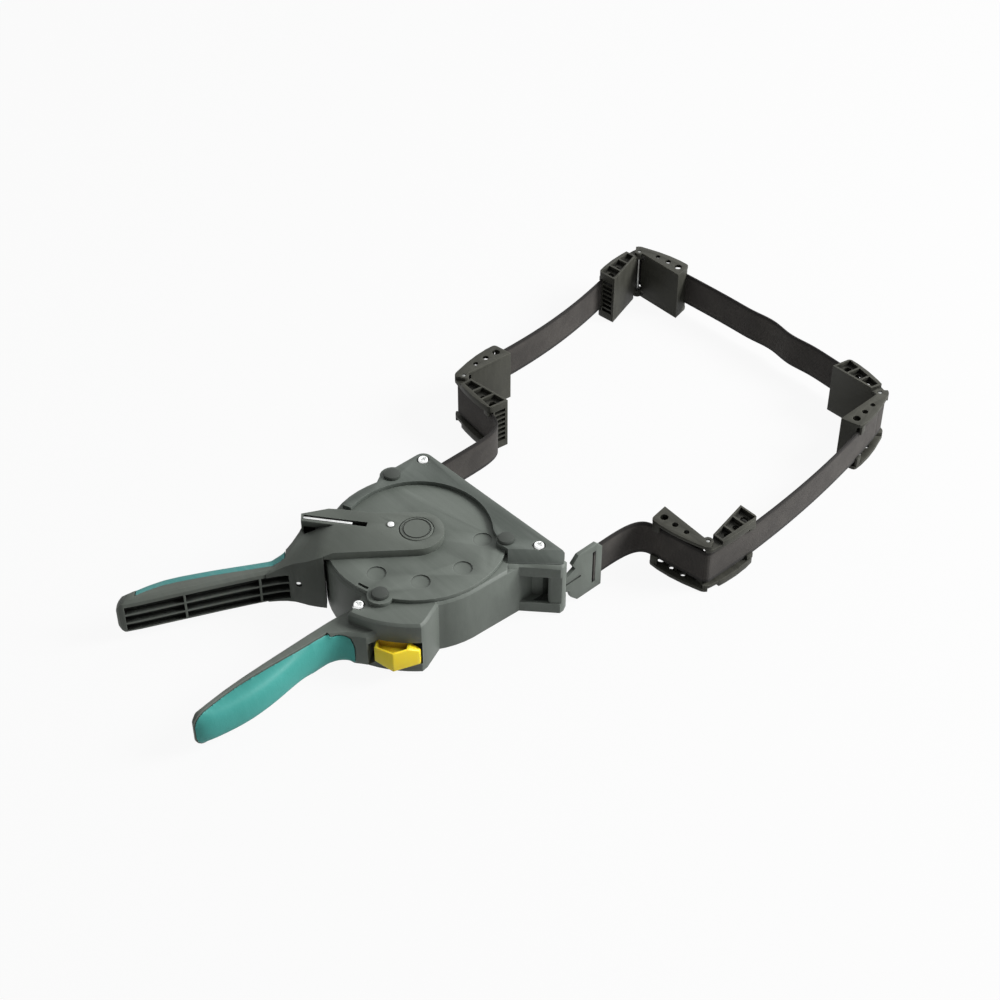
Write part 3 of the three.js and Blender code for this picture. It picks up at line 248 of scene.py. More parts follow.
# the strip on the lever is rubbed and dusty
leverRubberLook = {
    **gripLook, "streaks": 0.3,
    "colour": srgb(76, 142, 139), "shade": srgb(66, 128, 125), "light": srgb(130, 160, 160),
}
housingPlastic = mouldedPlastic("housingPlastic", housingLook)
platePlastic = mouldedPlastic("platePlastic", plateLook)
leverPlastic = mouldedPlastic("leverPlastic", leverLook)
jawPlastic = mouldedPlastic("jawPlastic", jawLook)
studPlastic = mouldedPlastic("studPlastic", studLook)
keyPlastic = mouldedPlastic("keyPlastic", keyLook)
keyShader = keyPlastic.node_tree.nodes["Principled BSDF"]
keyShader.inputs["Subsurface Weight"].default_value = keyLook["glow"]
keyShader.inputs["Subsurface Radius"].default_value = keyLook["glowReach"]
gripRubber = mouldedPlastic("gripRubber", gripLook)
leverRubber = mouldedPlastic("leverRubber", leverRubberLook)


steelGrain = {
    "rubScale": 420, "rubDetail": 4, "rubSpan": (0.35, 0.7), "gloss": (-0.06, 0.1),
    "fine": 2200, "relief": 0.15, "high": 0.05 * mm,
}


def turnedSteel(name, colour, rubbed, roughness):
    material, tree, shader = startFinish(name, roughness, metallic=1.0)
    place = objectPlace(tree)
    rubNoise = noiseAt(tree, place, steelGrain["rubScale"], steelGrain["rubDetail"])
    rub = spread(tree, rubNoise, *steelGrain["rubSpan"])
    tint = blendColours(tree, rub, colour, rubbed)
    tree.links.new(tint, shader.inputs["Base Color"])
    dull = spread(tree, rub, 0, 1, *(roughness + change for change in steelGrain["gloss"]))
    tree.links.new(dull, shader.inputs["Roughness"])
    fine = noiseAt(tree, place, steelGrain["fine"], 2)
    raiseSurface(tree, shader, fine, steelGrain["relief"], steelGrain["high"])
    return material


brightSteel = turnedSteel("brightSteel", srgb(244, 245, 244), srgb(208, 210, 209), roughness=0.26)
pinSteel = turnedSteel("pinSteel", srgb(120, 120, 116), srgb(168, 170, 170), roughness=0.4)

webbingLook = {
    "colour": srgb(68, 65, 61), "shade": srgb(50, 47, 45), "light": srgb(92, 88, 83),
    "edge": srgb(24, 22, 21), "width": 25 * mm, "selvedge": 3 * mm,
    "roughness": 0.72, "specular": 0.2, "sheen": 0.08, "sheenRough": 0.5,
    "rib": 1.25 * mm, "pick": 1.0 * mm, "wobble": 0.6, "relief": 0.5, "high": 0.25 * mm,
    "edgeShare": 0.9, "rubScale": 60, "rubDetail": 4, "rubSpan": (0.4, 0.72), "rubShare": 0.3,
}
waveRate = 20  # radians that a wave node turns in one unit


def wovenBand(look):
    # reads the strip's own map: u runs along the band and v across it, both in metres
    material, tree, shader = startFinish("wovenBand", look["roughness"], look["specular"])
    shader.inputs["Sheen Weight"].default_value = look["sheen"]
    shader.inputs["Sheen Roughness"].default_value = look["sheenRough"]
    uv = tree.nodes.new("ShaderNodeUVMap")
    uv.uv_map = "strip"
    waves = []
    for direction, pitch in (("Y", look["rib"]), ("X", look["pick"])):
        rate = math.tau / pitch / waveRate
        wave = addNode(tree, "ShaderNodeTexWave", Scale=rate, Distortion=look["wobble"], Detail=1.0)
        wave.bands_direction = direction
        tree.links.new(uv.outputs["UV"], wave.inputs["Vector"])
        waves.append(wave.outputs["Fac"])
    weave = calculate(tree, "MULTIPLY", waves[0], waves[1])
    across = tree.nodes.new("ShaderNodeSeparateXYZ")
    tree.links.new(uv.outputs["UV"], across.inputs["Vector"])
    middle = calculate(tree, "SUBTRACT", across.outputs["Y"], look["width"] / 2)
    fromMiddle = calculate(tree, "ABSOLUTE", middle)
    edgeLine = look["width"] / 2 - look["selvedge"]
    selvedge = spread(tree, fromMiddle, edgeLine, edgeLine + look["selvedge"] / 2, 0, look["edgeShare"])
    rubNoise = noiseAt(tree, objectPlace(tree), look["rubScale"], look["rubDetail"])
    rubbed = spread(tree, rubNoise, *look["rubSpan"], 0, look["rubShare"])
    yarn = blendColours(tree, weave, look["shade"], look["colour"])
    lightened = blendColours(tree, rubbed, yarn, look["light"])
    tree.links.new(blendColours(tree, selvedge, lightened, look["edge"]), shader.inputs["Base Color"])
    raiseSurface(tree, shader, weave, look["relief"], look["high"])
    return material


bandCloth = wovenBand(webbingLook)
print("finishes made")


# Moulded and metal parts keep their solids and get rounded, smooth edges

edging = {"sharpest": 32, "flat": 0.4, "segments": 2, "weld": 0.002 * mm}  # angles in degrees


def startGroup(name):
    group = bpy.data.node_groups.new(name, "GeometryNodeTree")
    for way in ("INPUT", "OUTPUT"):
        group.interface.new_socket("Geometry", in_out=way, socket_type="NodeSocketGeometry")
    return group, group.nodes.new("NodeGroupInput"), group.nodes.new("NodeGroupOutput")


def smoothByAngle(limit):
    group, start, end = startGroup("smoothByAngle")
    faces = group.nodes.new("GeometryNodeSetShadeSmooth")
    edges = group.nodes.new("GeometryNodeSetShadeSmooth")
    edges.domain = "EDGE"
    angle = group.nodes.new("GeometryNodeInputMeshEdgeAngle")
    compare = group.nodes.new("FunctionNodeCompare")
    compare.operation = "LESS_THAN"
    compare.inputs["B"].default_value = math.radians(limit)
    group.links.new(angle.outputs["Unsigned Angle"], compare.inputs["A"])
    group.links.new(start.outputs["Geometry"], faces.inputs["Geometry"])
    group.links.new(faces.outputs["Geometry"], edges.inputs["Geometry"])
    group.links.new(compare.outputs["Result"], edges.inputs["Shade Smooth"])
    group.links.new(edges.outputs["Geometry"], end.inputs["Geometry"])
    return group


smoothing = smoothByAngle(edging["sharpest"])


def dress(piece, material):
    piece.data.materials.clear()
    piece.data.materials.append(material)


def smoothFaces(piece):
    piece.modifiers.new("smooth", "NODES").node_group = smoothing


def weldMesh(piece):
    piece.modifiers.new("weld", "WELD").merge_threshold = edging["weld"]


def bevelEdges(piece, width, sharpest):
    edge = piece.modifiers.new("edge", "BEVEL")
    edge.limit_method = "ANGLE"
    edge.angle_limit = math.radians(sharpest)
    edge.width = width
    edge.segments = edging["segments"]
    edge.use_clamp_overlap = True


def roundEdges(piece, width):
    weldMesh(piece)
    flat = piece.modifiers.new("flat", "DECIMATE")
    flat.decimate_type = "DISSOLVE"
    flat.angle_limit = math.radians(edging["flat"])
    bevelEdges(piece, width, edging["sharpest"])
    smoothFaces(piece)


def relaxAwayFrom(neighbour, held, free, passes):
    # evens out a fine mesh, all but the seam along its neighbour
    group, start, end = startGroup("relax")
    other = group.nodes.new("GeometryNodeObjectInfo")
    other.transform_space = "RELATIVE"
    other.inputs["Object"].default_value = neighbour
    seam = group.nodes.new("GeometryNodeProximity")
    seam.target_element = "FACES"
    group.links.new(other.outputs["Geometry"], seam.inputs[0])
    place = group.nodes.new("GeometryNodeInputPosition")
    blur = group.nodes.new("GeometryNodeBlurAttribute")
    blur.data_type = "FLOAT_VECTOR"
    blur.inputs["Iterations"].default_value = passes
    group.links.new(place.outputs["Position"], blur.inputs["Value"])
    group.links.new(spread(group, seam.outputs["Distance"], held, free), blur.inputs["Weight"])
    move = group.nodes.new("GeometryNodeSetPosition")
    group.links.new(start.outputs["Geometry"], move.inputs["Geometry"])
    group.links.new(blur.outputs["Value"], move.inputs["Position"])
    group.links.new(move.outputs["Geometry"], end.inputs["Geometry"])
    return group


def softenShape(piece, shape):
    # loses its facets and gets full round edges
    weldMesh(piece)
    fine = piece.modifiers.new("fine", "REMESH")
    fine.mode = "VOXEL"
    fine.voxel_size = shape["voxel"]
    even = piece.modifiers.new("even", "SMOOTH")
    even.factor = 0.5
    even.iterations = shape["start"]
    relax = piece.modifiers.new("relax", "NODES")
    neighbour = nodes[shape["neighbour"]]
    relax.node_group = relaxAwayFrom(neighbour, shape["held"], shape["free"], shape["passes"])
    smoothFaces(piece)


# each part's material, and how far its edges are rounded in mm
partFinish = {
    "housing_base": (housingPlastic, 0.5), "reel_cover": (housingPlastic, 0.4),
    "front_plate": (platePlastic, 0.5), "clip": (housingPlastic, 0.3),
    "lever_core": (leverPlastic, 0.5), "reel_drum": (studPlastic, 0.3),
}
for jaw in ("left", "far", "right", "near"):
    partFinish[f"jaw_{jaw}_plain"] = (jawPlastic, 0.35)
    partFinish[f"jaw_{jaw}_ribbed"] = (jawPlastic, 0.35)
    partFinish[f"jaw_{jaw}_pin"] = (pinSteel, 0.25)
for steelName in (
    "cover_screw_left", "cover_screw_right", "cover_screw_near", "arm_rivet", "lever_cross_pin",
    "return_spring", "spindle", "ratchet_wheel", "pawl_carrier", "drive_pawl", "drive_pawl_pin",
    "hold_pawl", "hold_pawl_pin", "hold_pawl_spring", "release_pin",
):
    partFinish[steelName] = (brightSteel, 0.15)
for nodeName, (material, width) in partFinish.items():
    dress(nodes[nodeName], material)
    roundEdges(nodes[nodeName], width * mm)
softShape = {
    "fixed_grip": {
        "finish": gripRubber, "voxel": 0.7 * mm, "start": 18, "passes": 220,
        "neighbour": "housing_base", "held": 0.6 * mm, "free": 3 * mm,
    },
    "lever_grip": {
        "finish": leverRubber, "voxel": 0.6 * mm, "start": 6, "passes": 24,
        "neighbour": "lever_core", "held": 0.6 * mm, "free": 3 * mm,
    },
}
for nodeName, shape in softShape.items():
    dress(nodes[nodeName], shape["finish"])
    softenShape(nodes[nodeName], shape)
print("solids finished:", len(partFinish) + len(softShape))


# New pieces are made in a bmesh, given a finish, and the nodes they replace are hidden

touching = 0.001 * mm  # points this close are one


def turnPiece(name, profile, centre, steps=40):
    bm = bmesh.new()
    line = [bm.verts.new((centre.x + radius, centre.y, height)) for radius, height in profile]
    for pair in zip(line, line[1:]):
        bm.edges.new(pair)
    bmesh.ops.spin(
        bm, geom=bm.verts[:] + bm.edges[:], cent=(centre.x, centre.y, 0), axis=(0, 0, 1),
        angle=math.tau, steps=steps, use_merge=True, use_duplicate=False,
    )
    bmesh.ops.remove_doubles(bm, verts=bm.verts, dist=touching)
    bmesh.ops.recalc_face_normals(bm, faces=bm.faces)
    return pieceFrom(name, bm)


def pieceFrom(name, bm):
    mesh = bpy.data.meshes.new(name)
    bm.to_mesh(mesh)
    bm.free()
    piece = bpy.data.objects.new(name, mesh)
    bpy.context.scene.collection.objects.link(piece)
    return piece


def finishPiece(piece, material, slot, *replaced):
    dress(piece, material)
    if replaced:
        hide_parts(*replaced)
    return piece


# Studs over the cover, turned with a low domed head
stud = {
    "shank": 2.5 * mm, "head": 3.2 * mm, "rim": 0.6 * mm, "shoulder": 1.4 * mm,
    "crown": ((0.9, 0.5 * mm), (0.62, 0.15 * mm)),
}
for place in ("left", "right", "near"):
    low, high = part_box(f"cover_stud_{place}")
    centre = (low + high) / 2
    radius = (high.x - low.x) / 2
    headLow = high.z - stud["head"]
    profile = [
        (0, low.z), (stud["shank"], low.z), (stud["shank"], headLow), (radius - stud["rim"] / 2, headLow),
        (radius, headLow + stud["rim"]), (radius, high.z - stud["shoulder"]),
        *((radius * share, high.z - drop) for share, drop in stud["crown"]), (0, high.z),
    ]
    piece = turnPiece(f"stud_{place}", profile, centre)
    finishPiece(piece, studPlastic, "lever", f"cover_stud_{place}")
    smoothFaces(piece)
    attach(piece, "housing")

# Cap over the lever's pivot, with a plain turned ring
cap = {"edge": 0.5 * mm, "ringOut": 0.84, "ringIn": 0.76, "ringDeep": 0.5 * mm}
low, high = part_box("pivot_cap")
radius = (high.x - low.x) / 2
ringFloor = high.z - cap["ringDeep"]
profile = [
    (0, low.z), (radius, low.z), (radius, high.z - 2 * cap["edge"]),
    (radius - cap["edge"], high.z - cap["edge"] / 4),
    (radius * cap["ringOut"] + cap["edge"] / 2, high.z), (radius * cap["ringOut"], ringFloor),
    (radius * cap["ringIn"], ringFloor), (radius * cap["ringIn"] - cap["edge"] / 2, high.z), (0, high.z),
]
pivotCap = turnPiece("pivotCap", profile, (low + high) / 2)
finishPiece(pivotCap, leverPlastic, "housing", "pivot_cap")
smoothFaces(pivotCap)
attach(pivotCap, "pump_lever")
print("studs and cap turned")

# Release key: two broad faces that meet in a ridge, hollow on top, on a hub with a finger
key = {
    "turn": -53, "foot": 73.5 * mm, "low": 9.3 * mm, "high": 24 * mm,
    "rim": 1.8 * mm, "hollow": 3.2 * mm, "slope": 1.2 * mm,
    "rounding": 1.1 * mm, "roundSteps": 4, "level": 0.99, "merge": 0.01 * mm,
    "outline": ((-3, -9.8), (5, -9.8), (8.7, 2.2), (-0.4, 16.5), (-3, 16.5)),
    "leftCut": ((-9.8, 12.6), (-3.5, -12)), "rightCut": ((16.5, 20), (4, 6)),
    "hub": 3.6 * mm, "bore": 1.9 * mm, "hubAt": -7.5, "hubSteps": 24,
    "neck": ((-7, -3), (-2, -3.2), (-2, 3.2), (-7, 3)),
    "finger": ((-19.8, 1.6), (-7.5, -2.6), (-7.5, 2.6), (-19, 4.4)), "fingerHigh": 4 * mm,
}
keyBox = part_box("release_lever")


def onPod(out, across, height):
    # a place on the key, in mm outwards from its foot and across it
    way = math.radians(key["turn"])
    reach, side = key["foot"] + out * mm, across * mm
    east, north = math.cos(way), math.sin(way)
    return Vector((reach * east - side * north, reach * north + side * east, height))


def raiseOutline(bm, outline, low, high):
    face = bm.faces.new([bm.verts.new(onPod(*place, low)) for place in outline])
    raised = bmesh.ops.extrude_face_region(bm, geom=[face])["geom"]
    top = [v for v in raised if isinstance(v, bmesh.types.BMVert)]
    bmesh.ops.translate(bm, verts=top, vec=(0, 0, high - low))


def sliceKey(bm, place, lean):
    # takes off one corner of the key, seen from outside
    way = (onPod(0, lean[0], 0) - onPod(0, 0, 0)) / mm
    bmesh.ops.bisect_plane(
        bm, geom=bm.verts[:] + bm.edges[:] + bm.faces[:],
        plane_co=onPod(0, place[0], place[1] * mm), plane_no=way + Vector((0, 0, lean[1])), clear_outer=True,
    )
    bmesh.ops.holes_fill(bm, edges=[e for e in bm.edges if e.is_boundary])


bm = bmesh.new()
raiseOutline(bm, key["outline"], key["low"], key["high"])
sliceKey(bm, *key["leftCut"])
sliceKey(bm, *key["rightCut"])
bmesh.ops.remove_doubles(bm, verts=bm.verts, dist=key["merge"])
bmesh.ops.recalc_face_normals(bm, faces=bm.faces)
bmesh.ops.bevel(
    bm, geom=bm.edges[:], offset=key["rounding"], offset_type="OFFSET", segments=key["roundSteps"],
    profile=0.5, affect="EDGES", material=-1, clamp_overlap=True,
)
level = [f for f in bm.faces if f.normal.z > key["level"]]
top = [max(level, key=lambda f: f.calc_area())]
bmesh.ops.inset_region(bm, faces=top, thickness=key["rim"] - key["rounding"], use_even_offset=True)
bmesh.ops.inset_region(bm, faces=top, thickness=key["slope"], depth=-key["hollow"], use_even_offset=True)
raiseOutline(bm, key["neck"], key["low"], key["high"] - key["hollow"])
raiseOutline(bm, key["finger"], keyBox[1].z - key["fingerHigh"], keyBox[1].z)
bmesh.ops.recalc_face_normals(bm, faces=bm.faces)
releaseKey = pieceFrom("releaseKey", bm)
finishPiece(releaseKey, keyPlastic, "release", "release_lever")
smoothFaces(releaseKey)
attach(releaseKey, "release_rocker")
profile = [
    (key["bore"], keyBox[0].z), (key["hub"], keyBox[0].z), (key["hub"], keyBox[1].z),
    (key["bore"], keyBox[1].z), (key["bore"], keyBox[0].z),
]
releaseHub = turnPiece("releaseHub", profile, onPod(key["hubAt"], 0, 0), key["hubSteps"])
finishPiece(releaseHub, keyPlastic, "release")
smoothFaces(releaseHub)
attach(releaseHub, "release_rocker")
print("release key made")


# Band: one woven strip in five stretches, bent where it crosses a hinge or leads into the clip

webbing = {
    "thick": 1.3 * mm, "line": 3.55 * mm, "arm": 38.5 * mm, "ease": 0.35,
    "rows": 5, "step": 4 * mm, "bendSteps": 16, "sideSteps": 40, "turnSteps": 28,
    "plainWay": {"left": 97, "far": 12, "right": -77, "near": 188},
    "ribbedWay": {"left": -8, "far": 275, "right": 168, "near": 89},
    "bow": {"left": -4.5 * mm, "far": -6 * mm, "right": -1.5 * mm},
    "sideWay": {"left": 96, "far": 0, "right": -84},
    "ripple": {"side": "far", "height": 1.8 * mm, "middle": 0.6, "reach": 0.17, "length": 0.38},
    "lap": 8 * mm, "nearLap": (0.38, 0.62), "turnReach": 4 * mm,
    "edgeRound": 0.4 * mm, "edgeAngle": 60,
}
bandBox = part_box("band_left")
bandZ = (bandBox[0].z, bandBox[1].z)


def polar(length, degrees):
    return Vector((length * math.cos(math.radians(degrees)), length * math.sin(math.radians(degrees))))


def arcPath(centre, radius, first, last, steps):
    return [centre + polar(radius, first + (last - first) * i / steps) for i in range(steps + 1)]


def easyCurve(start, startPull, end, endPull, steps):
    corners = [place.to_3d() for place in (start, start + startPull, end + endPull, end)]
    return [Vector(place[:2]) for place in interpolate_bezier(*corners, steps + 1)]


def hingeOf(jaw):
    low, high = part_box(f"jaw_{jaw}_pin")
    return ((low + high) / 2).to_2d()


hinges = {jaw: hingeOf(jaw) for jaw in webbing["plainWay"]}


def plainStart(jaw):
    return hinges[jaw] + polar(webbing["line"], webbing["plainWay"][jaw] + 90)


def ribbedStart(jaw):
    return hinges[jaw] + polar(webbing["line"], webbing["ribbedWay"][jaw] - 90)


def plainEnd(jaw):
    return plainStart(jaw) + polar(webbing["arm"], webbing["plainWay"][jaw])


def ribbedEnd(jaw):
    return ribbedStart(jaw) + polar(webbing["arm"], webbing["ribbedWay"][jaw])


def bendPath(jaw, first=0.0, last=1.0):
    start = webbing["ribbedWay"][jaw] - 90
    sweep = (start - webbing["plainWay"][jaw] - 90) % 360
    ends = start - sweep * first, start - sweep * last
    return arcPath(hinges[jaw], webbing["line"], *ends, webbing["bendSteps"])


def rippleAt(share, way):
    # the slack in a side: a rise and a dip that fade out along the band
    ripple = webbing["ripple"]
    along = share - ripple["middle"]
    fade = math.exp(-((along / ripple["reach"]) ** 2))
    return polar(-ripple["height"] * fade * math.sin(math.tau * along / ripple["length"]), way + 90)


def sidePath(side, start, end):
    ease = (plainEnd(start) - ribbedEnd(end)).length * webbing["ease"]
    # both pulls of a curve move by 4/3 of the bow at its middle
    bow = polar(webbing["bow"][side] * 4 / 3, webbing["sideWay"][side] + 90)
    startPull = polar(ease, webbing["plainWay"][start]) + bow
    endPull = polar(ease, webbing["ribbedWay"][end]) + bow
    steps, way = webbing["sideSteps"], webbing["sideWay"][side]
    run = easyCurve(plainEnd(start), startPull, ribbedEnd(end), endPull, steps)
    if side == webbing["ripple"]["side"]:
        run = [place + rippleAt(i / steps, way) for i, place in enumerate(run)]
    return [*lapEnd(start), *run, ribbedStart(end)]


def lapEnd(jaw):
    return [plainStart(jaw) + polar(webbing["lap"], webbing["plainWay"][jaw])]


def evenSteps(path, step):
    # splits the long straight runs so that a strip can bend and carry its weave
    points = [path[0]]
    for start, end in zip(path, path[1:]):
        count = max(1, round((end - start).length / step))
        points += [start.lerp(end, i / count) for i in range(1, count + 1)]
    return points


def strip(
    name, path, low, high, thick, rows=webbing["rows"], step=webbing["step"], rounding=webbing["edgeRound"],
):
    points = evenSteps(path, step)
    bm = bmesh.new()
    along = bm.verts.layers.float.new("along")
    verts = [bm.verts.new((p.x, p.y, low)) for p in points]
    run = 0.0
    for i, vert in enumerate(verts):
        run += (points[i] - points[i - 1]).length if i else 0.0
        vert[along] = run
    edges = [bm.edges.new(pair) for pair in zip(verts, verts[1:])]
    for row in range(rows):
        made = bmesh.ops.extrude_edge_only(bm, edges=edges)["geom"]
        edges = [e for e in made if isinstance(e, bmesh.types.BMEdge)]
        raised = [v for v in made if isinstance(v, bmesh.types.BMVert)]
        bmesh.ops.translate(bm, verts=raised, vec=(0, 0, (high - low) / rows))
    bmesh.ops.recalc_face_normals(bm, faces=bm.faces)
    uv = bm.loops.layers.uv.new("strip")
    for face in bm.faces:
        for loop in face.loops:
            loop[uv].uv = (loop.vert[along], loop.vert.co.z - low)
    piece = pieceFrom(name, bm)
    wall = piece.modifiers.new("wall", "SOLIDIFY")
    wall.thickness = thick
    wall.offset = 0
    wall.use_even_offset = True
    bevelEdges(piece, rounding, webbing["edgeAngle"])
    smoothFaces(piece)
    return makeFinal(piece)


def makeFinal(piece):
    # the modifiers' result becomes the mesh
    shown = piece.evaluated_get(bpy.context.evaluated_depsgraph_get())
    settled = bpy.data.meshes.new_from_object(shown)
    piece.modifiers.clear()
    piece.data = settled
    return piece


lead = {
    "ring": 24.95 * mm, "ringFrom": 24, "ringTo": 6, "ringSteps": 6,
    "guide": Vector((-49.5, 47.5)) * mm, "guidePull": Vector((0, -14)) * mm,
    "guideEase": 0.35, "guideSteps": 12,
    "pull": Vector((0, 22)) * mm, "jawPull": 13 * mm,
}


def leadPath():
    guide, ring = lead["guide"], lead["ring"]
    tangent = math.degrees(math.atan2(guide.y, guide.x) + math.acos(ring / guide.length))
    ringPart = arcPath(
        Vector((0, 0)), ring, tangent + lead["ringFrom"], tangent + lead["ringTo"], lead["ringSteps"],
    )
    out = easyCurve(
        polar(ring, tangent), guide * lead["guideEase"], guide, lead["guidePull"], lead["guideSteps"],
    )
    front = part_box("front_plate")[1].y
    straight = Vector((guide.x, (front + ribbedEnd("left").y) / 2))
    jawPull = polar(lead["jawPull"], webbing["ribbedWay"]["left"])
    jawTurn = easyCurve(straight, lead["pull"], ribbedEnd("left"), jawPull, webbing["turnSteps"])
    return [*ringPart, *out, *jawTurn, ribbedStart("left")]


tail = {
    "half": 0.95 * mm, "bar": 5.5 * mm, "barSteps": 6,
    "pull": 18 * mm, "jawPull": 10 * mm, "step": 2.5 * mm,
}


def tailPath():
    # along the back of the clip's bar and into its slot
    low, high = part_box("clip")
    half = tail["half"]
    backX = low.x - half
    barEdge = high.y - tail["bar"]
    turn = easyCurve(
        plainEnd("near"), polar(tail["jawPull"], webbing["plainWay"]["near"]),
        Vector((backX, high.y + tail["bar"])), Vector((0, tail["pull"])), webbing["turnSteps"],
    )
    roundBar = arcPath(Vector((low.x, barEdge)), half, 180, 270, tail["barSteps"])
    return [*turn, *roundBar, Vector((high.x, barEdge - half))]


stretches = {
    "webLead": {
        "run": leadPath(), "jaw": "left", "bodies": ("housing", "side_left"),
        "replaces": ("band_lead", "band_bend_left"),
    },
    "webLeft": {
        "run": sidePath("left", "left", "far"), "jaw": "far", "bodies": ("side_left", "side_far"),
        "replaces": ("band_left", "band_bend_far"),
    },
    "webFar": {
        "run": sidePath("far", "far", "right"), "jaw": "right", "bodies": ("side_far", "side_right"),
        "replaces": ("band_far", "band_bend_right"),
    },
}
for name, stretch in stretches.items():
    jaw, bodies = stretch["jaw"], stretch["bodies"]
    run = [*stretch["run"], *bendPath(jaw)[1:], *lapEnd(jaw)]
    piece = strip(name, run, *bandZ, webbing["thick"])
    finishPiece(piece, bandCloth, "band", *stretch["replaces"])
    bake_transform(piece)

# the right side and the tail lap in the near jaw's bend, where the loop of joints is open
lapFirst, lapLast = webbing["nearLap"]
rightRun = [*sidePath("right", "right", "near"), *bendPath("near", 0, lapLast)[1:]]
webRight = strip("webRight", rightRun, *bandZ, webbing["thick"])
finishPiece(webRight, bandCloth, "band", "band_right")
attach(webRight, "side_right")

nearArm = evenSteps([plainStart("near"), plainEnd("near")], webbing["step"])
tailRun = [*bendPath("near", lapFirst, 1), *nearArm[1:], *tailPath()[1:]]
webTail = strip("webTail", tailRun, *bandZ, webbing["thick"], step=tail["step"])
finishPiece(webTail, bandCloth, "band", "band_tail", "band_bend_near")
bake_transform(webTail)

wound = {
    "inside": 12.9 * mm, "outside": 23.3 * mm, "turns": 7, "stepsPerTurn": 40, "thick": 1.2 * mm, "rows": 2,
}


def woundPath():
    count = wound["turns"] * wound["stepsPerTurn"]
    span = wound["outside"] - wound["inside"]
    sweep = 360 * wound["turns"]
    return [polar(wound["inside"] + span * i / count, sweep * i / count) for i in range(count + 1)]


webWound = strip("webWound", woundPath(), *bandZ, wound["thick"], rows=wound["rows"])
finishPiece(webWound, bandCloth, "band", "band_wound")
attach(webWound, "reel")
print("band laid out")

# Leaf spring behind the driving pawl, bent round the pawl's hub
leaf = {
    "thick": 0.5 * mm, "off": 0.8 * mm, "hub": 4.2 * mm, "from": -34, "to": 30, "hubSteps": 8,
    "back": 35, "shares": (0.1, 0.3, 0.55), "tooth": {"in": 5.4 * mm, "turn": 21.4},
    "rows": 2, "step": 1 * mm, "rounding": 0.1 * mm,
}


def leafPath():
    low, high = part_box("drive_pawl_pin")
    pin = ((low + high) / 2).to_2d()
    way = math.degrees(math.atan2(pin.y, pin.x))
    hub = arcPath(
        pin, leaf["hub"] + leaf["off"], way + leaf["from"], way + leaf["to"], leaf["hubSteps"],
    )
    backStart = pin + polar(leaf["hub"], way + leaf["back"])
    backEnd = polar(pin.length - leaf["tooth"]["in"], way + leaf["tooth"]["turn"])
    along = (backEnd - backStart).normalized()
    side = Vector((along.y, -along.x)) * leaf["off"]
    return hub, [backStart.lerp(backEnd, share) + side for share in leaf["shares"]]


leafHub, leafBack = leafPath()
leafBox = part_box("drive_pawl_spring")
pawlLeaf = strip(
    "pawlLeaf", [*leafHub, *leafBack], leafBox[0].z, leafBox[1].z, leaf["thick"],
    rows=leaf["rows"], step=leaf["step"], rounding=leaf["rounding"],
)
finishPiece(pawlLeaf, brightSteel, "steel", "drive_pawl_spring")
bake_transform(pawlLeaf)
print("pawl spring bent")


# Stage, light and camera

def whiteToView(tree, shaderSocket, kind, share):
    # the camera, gloss and glass see white here, and the rest of the light is left as it is
    path = tree.nodes.new("ShaderNodeLightPath")
    rays = path.outputs["Is Camera Ray"]
    for other in ("Is Glossy Ray", "Is Transmission Ray"):
        rays = calculate(tree, "MAXIMUM", rays, path.outputs[other])
    white = addNode(tree, kind, Color=(1, 1, 1, 1), Strength=1.0)
    mix = tree.nodes.new("ShaderNodeMixShader")
    tree.links.new(spread(tree, rays, 0, 1, 0, share), mix.inputs["Fac"])
    tree.links.new(shaderSocket, mix.inputs[1])
    tree.links.new(white.outputs[0], mix.inputs[2])
    return mix.outputs["Shader"]


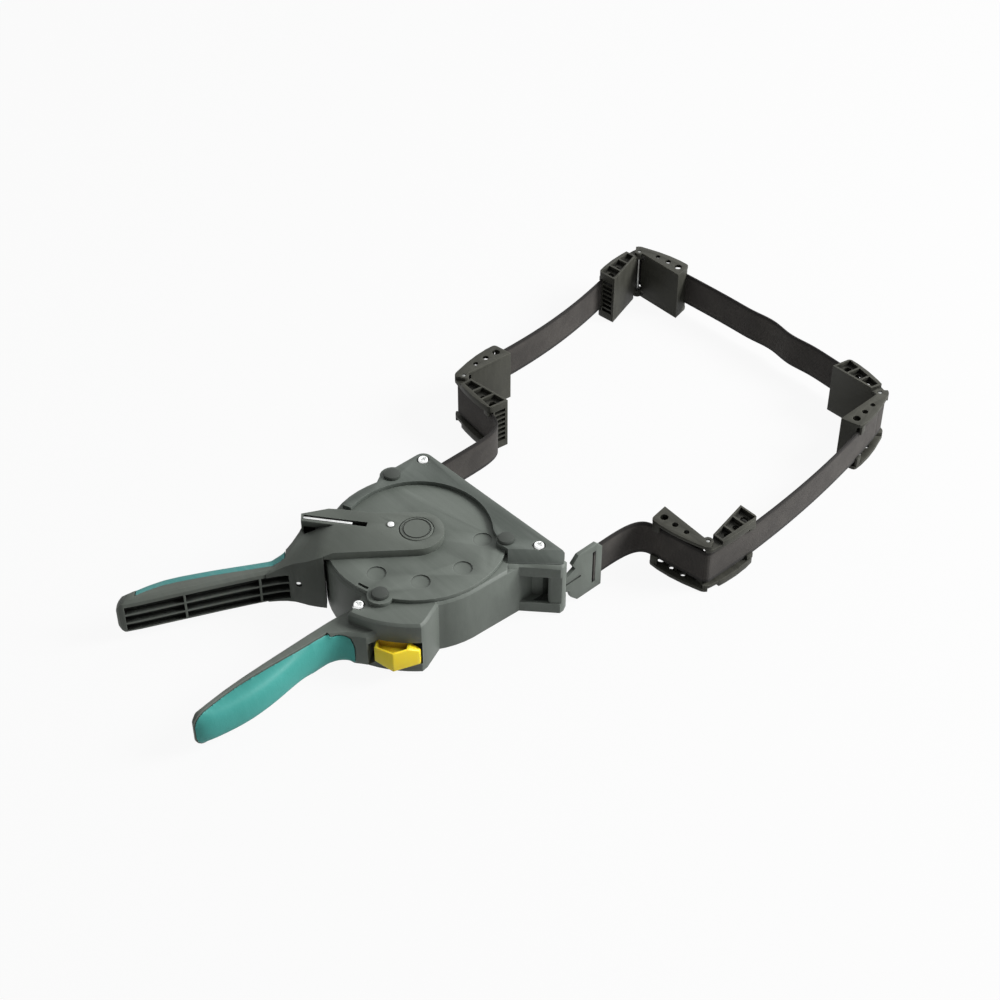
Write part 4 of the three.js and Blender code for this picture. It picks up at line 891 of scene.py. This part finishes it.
room = {
    "floorSize": 30.0, "floorDrop": 0.1 * mm, "floorColour": (0.5, 0.5, 0.5, 1), "floorWhite": 0.93,
    "floorRough": 0.9, "sky": 0.25, "skyColour": (1, 1, 1, 1), "skyWhite": 1.0,
}
bm = bmesh.new()
bmesh.ops.create_grid(bm, x_segments=1, y_segments=1, size=room["floorSize"])
bmesh.ops.translate(bm, verts=bm.verts, vec=(0, 0, cadBox[0].z - room["floorDrop"]))
floor = pieceFrom("floor", bm)
floorPaint, floorTree, floorShader = startFinish("floorPaint", room["floorRough"], specular=0.0)
floorShader.inputs["Base Color"].default_value = room["floorColour"]
floorLook = whiteToView(
    floorTree, floorShader.outputs["BSDF"], "ShaderNodeEmission", room["floorWhite"],
)
floorTree.links.new(floorLook, floorTree.nodes["Material Output"].inputs["Surface"])
dress(floor, floorPaint)

world = bpy.context.scene.world or bpy.data.worlds.new("studio")
bpy.context.scene.world = world
world.use_nodes = True
skyTree = world.node_tree
sky = skyTree.nodes["Background"]
sky.inputs["Color"].default_value = room["skyColour"]
sky.inputs["Strength"].default_value = room["sky"]
skyLook = whiteToView(skyTree, sky.outputs["Background"], "ShaderNodeBackground", room["skyWhite"])
skyTree.links.new(skyLook, skyTree.nodes["World Output"].inputs["Surface"])

lamps = {
    "keyLamp": {"place": (1.05, 1.25, 1.12), "size": 0.9, "watts": 54},
    "backLamp": {"place": (-0.7, 1.4, 1.6), "size": 1.4, "watts": 6},
}
lampAim = Vector((0, 0.1, 0))
for name, lamp in lamps.items():
    light = bpy.data.lights.new(name, "AREA")
    light.shape = "DISK"
    light.size = lamp["size"]
    light.energy = lamp["watts"]
    holder = bpy.data.objects.new(name, light)
    holder.location = lamp["place"]
    aim = lampAim - Vector(lamp["place"])
    holder.rotation_euler = aim.to_track_quat("-Z", "Y").to_euler()
    bpy.context.scene.collection.objects.link(holder)

shot = {
    "lens": 72, "sensor": 36, "lookAt": (-0.0241, 0.0914, 0),
    "azimuth": 47, "elevation": 42, "distance": 1.3,
}
camera = bpy.data.cameras.new("camera")
camera.lens = shot["lens"]
camera.sensor_width = shot["sensor"]
eye = bpy.data.objects.new("camera", camera)
turn, climb = math.radians(shot["azimuth"]), math.radians(shot["elevation"])
away = Vector((math.sin(turn) * math.cos(climb), -math.cos(turn) * math.cos(climb), math.sin(climb)))
eye.location = Vector(shot["lookAt"]) + away * shot["distance"]
eye.rotation_euler = (-away).to_track_quat("-Z", "Y").to_euler()
bpy.context.scene.collection.objects.link(eye)
bpy.context.scene.camera = eye
bpy.context.scene.view_settings.view_transform = "Standard"
print("stage set")
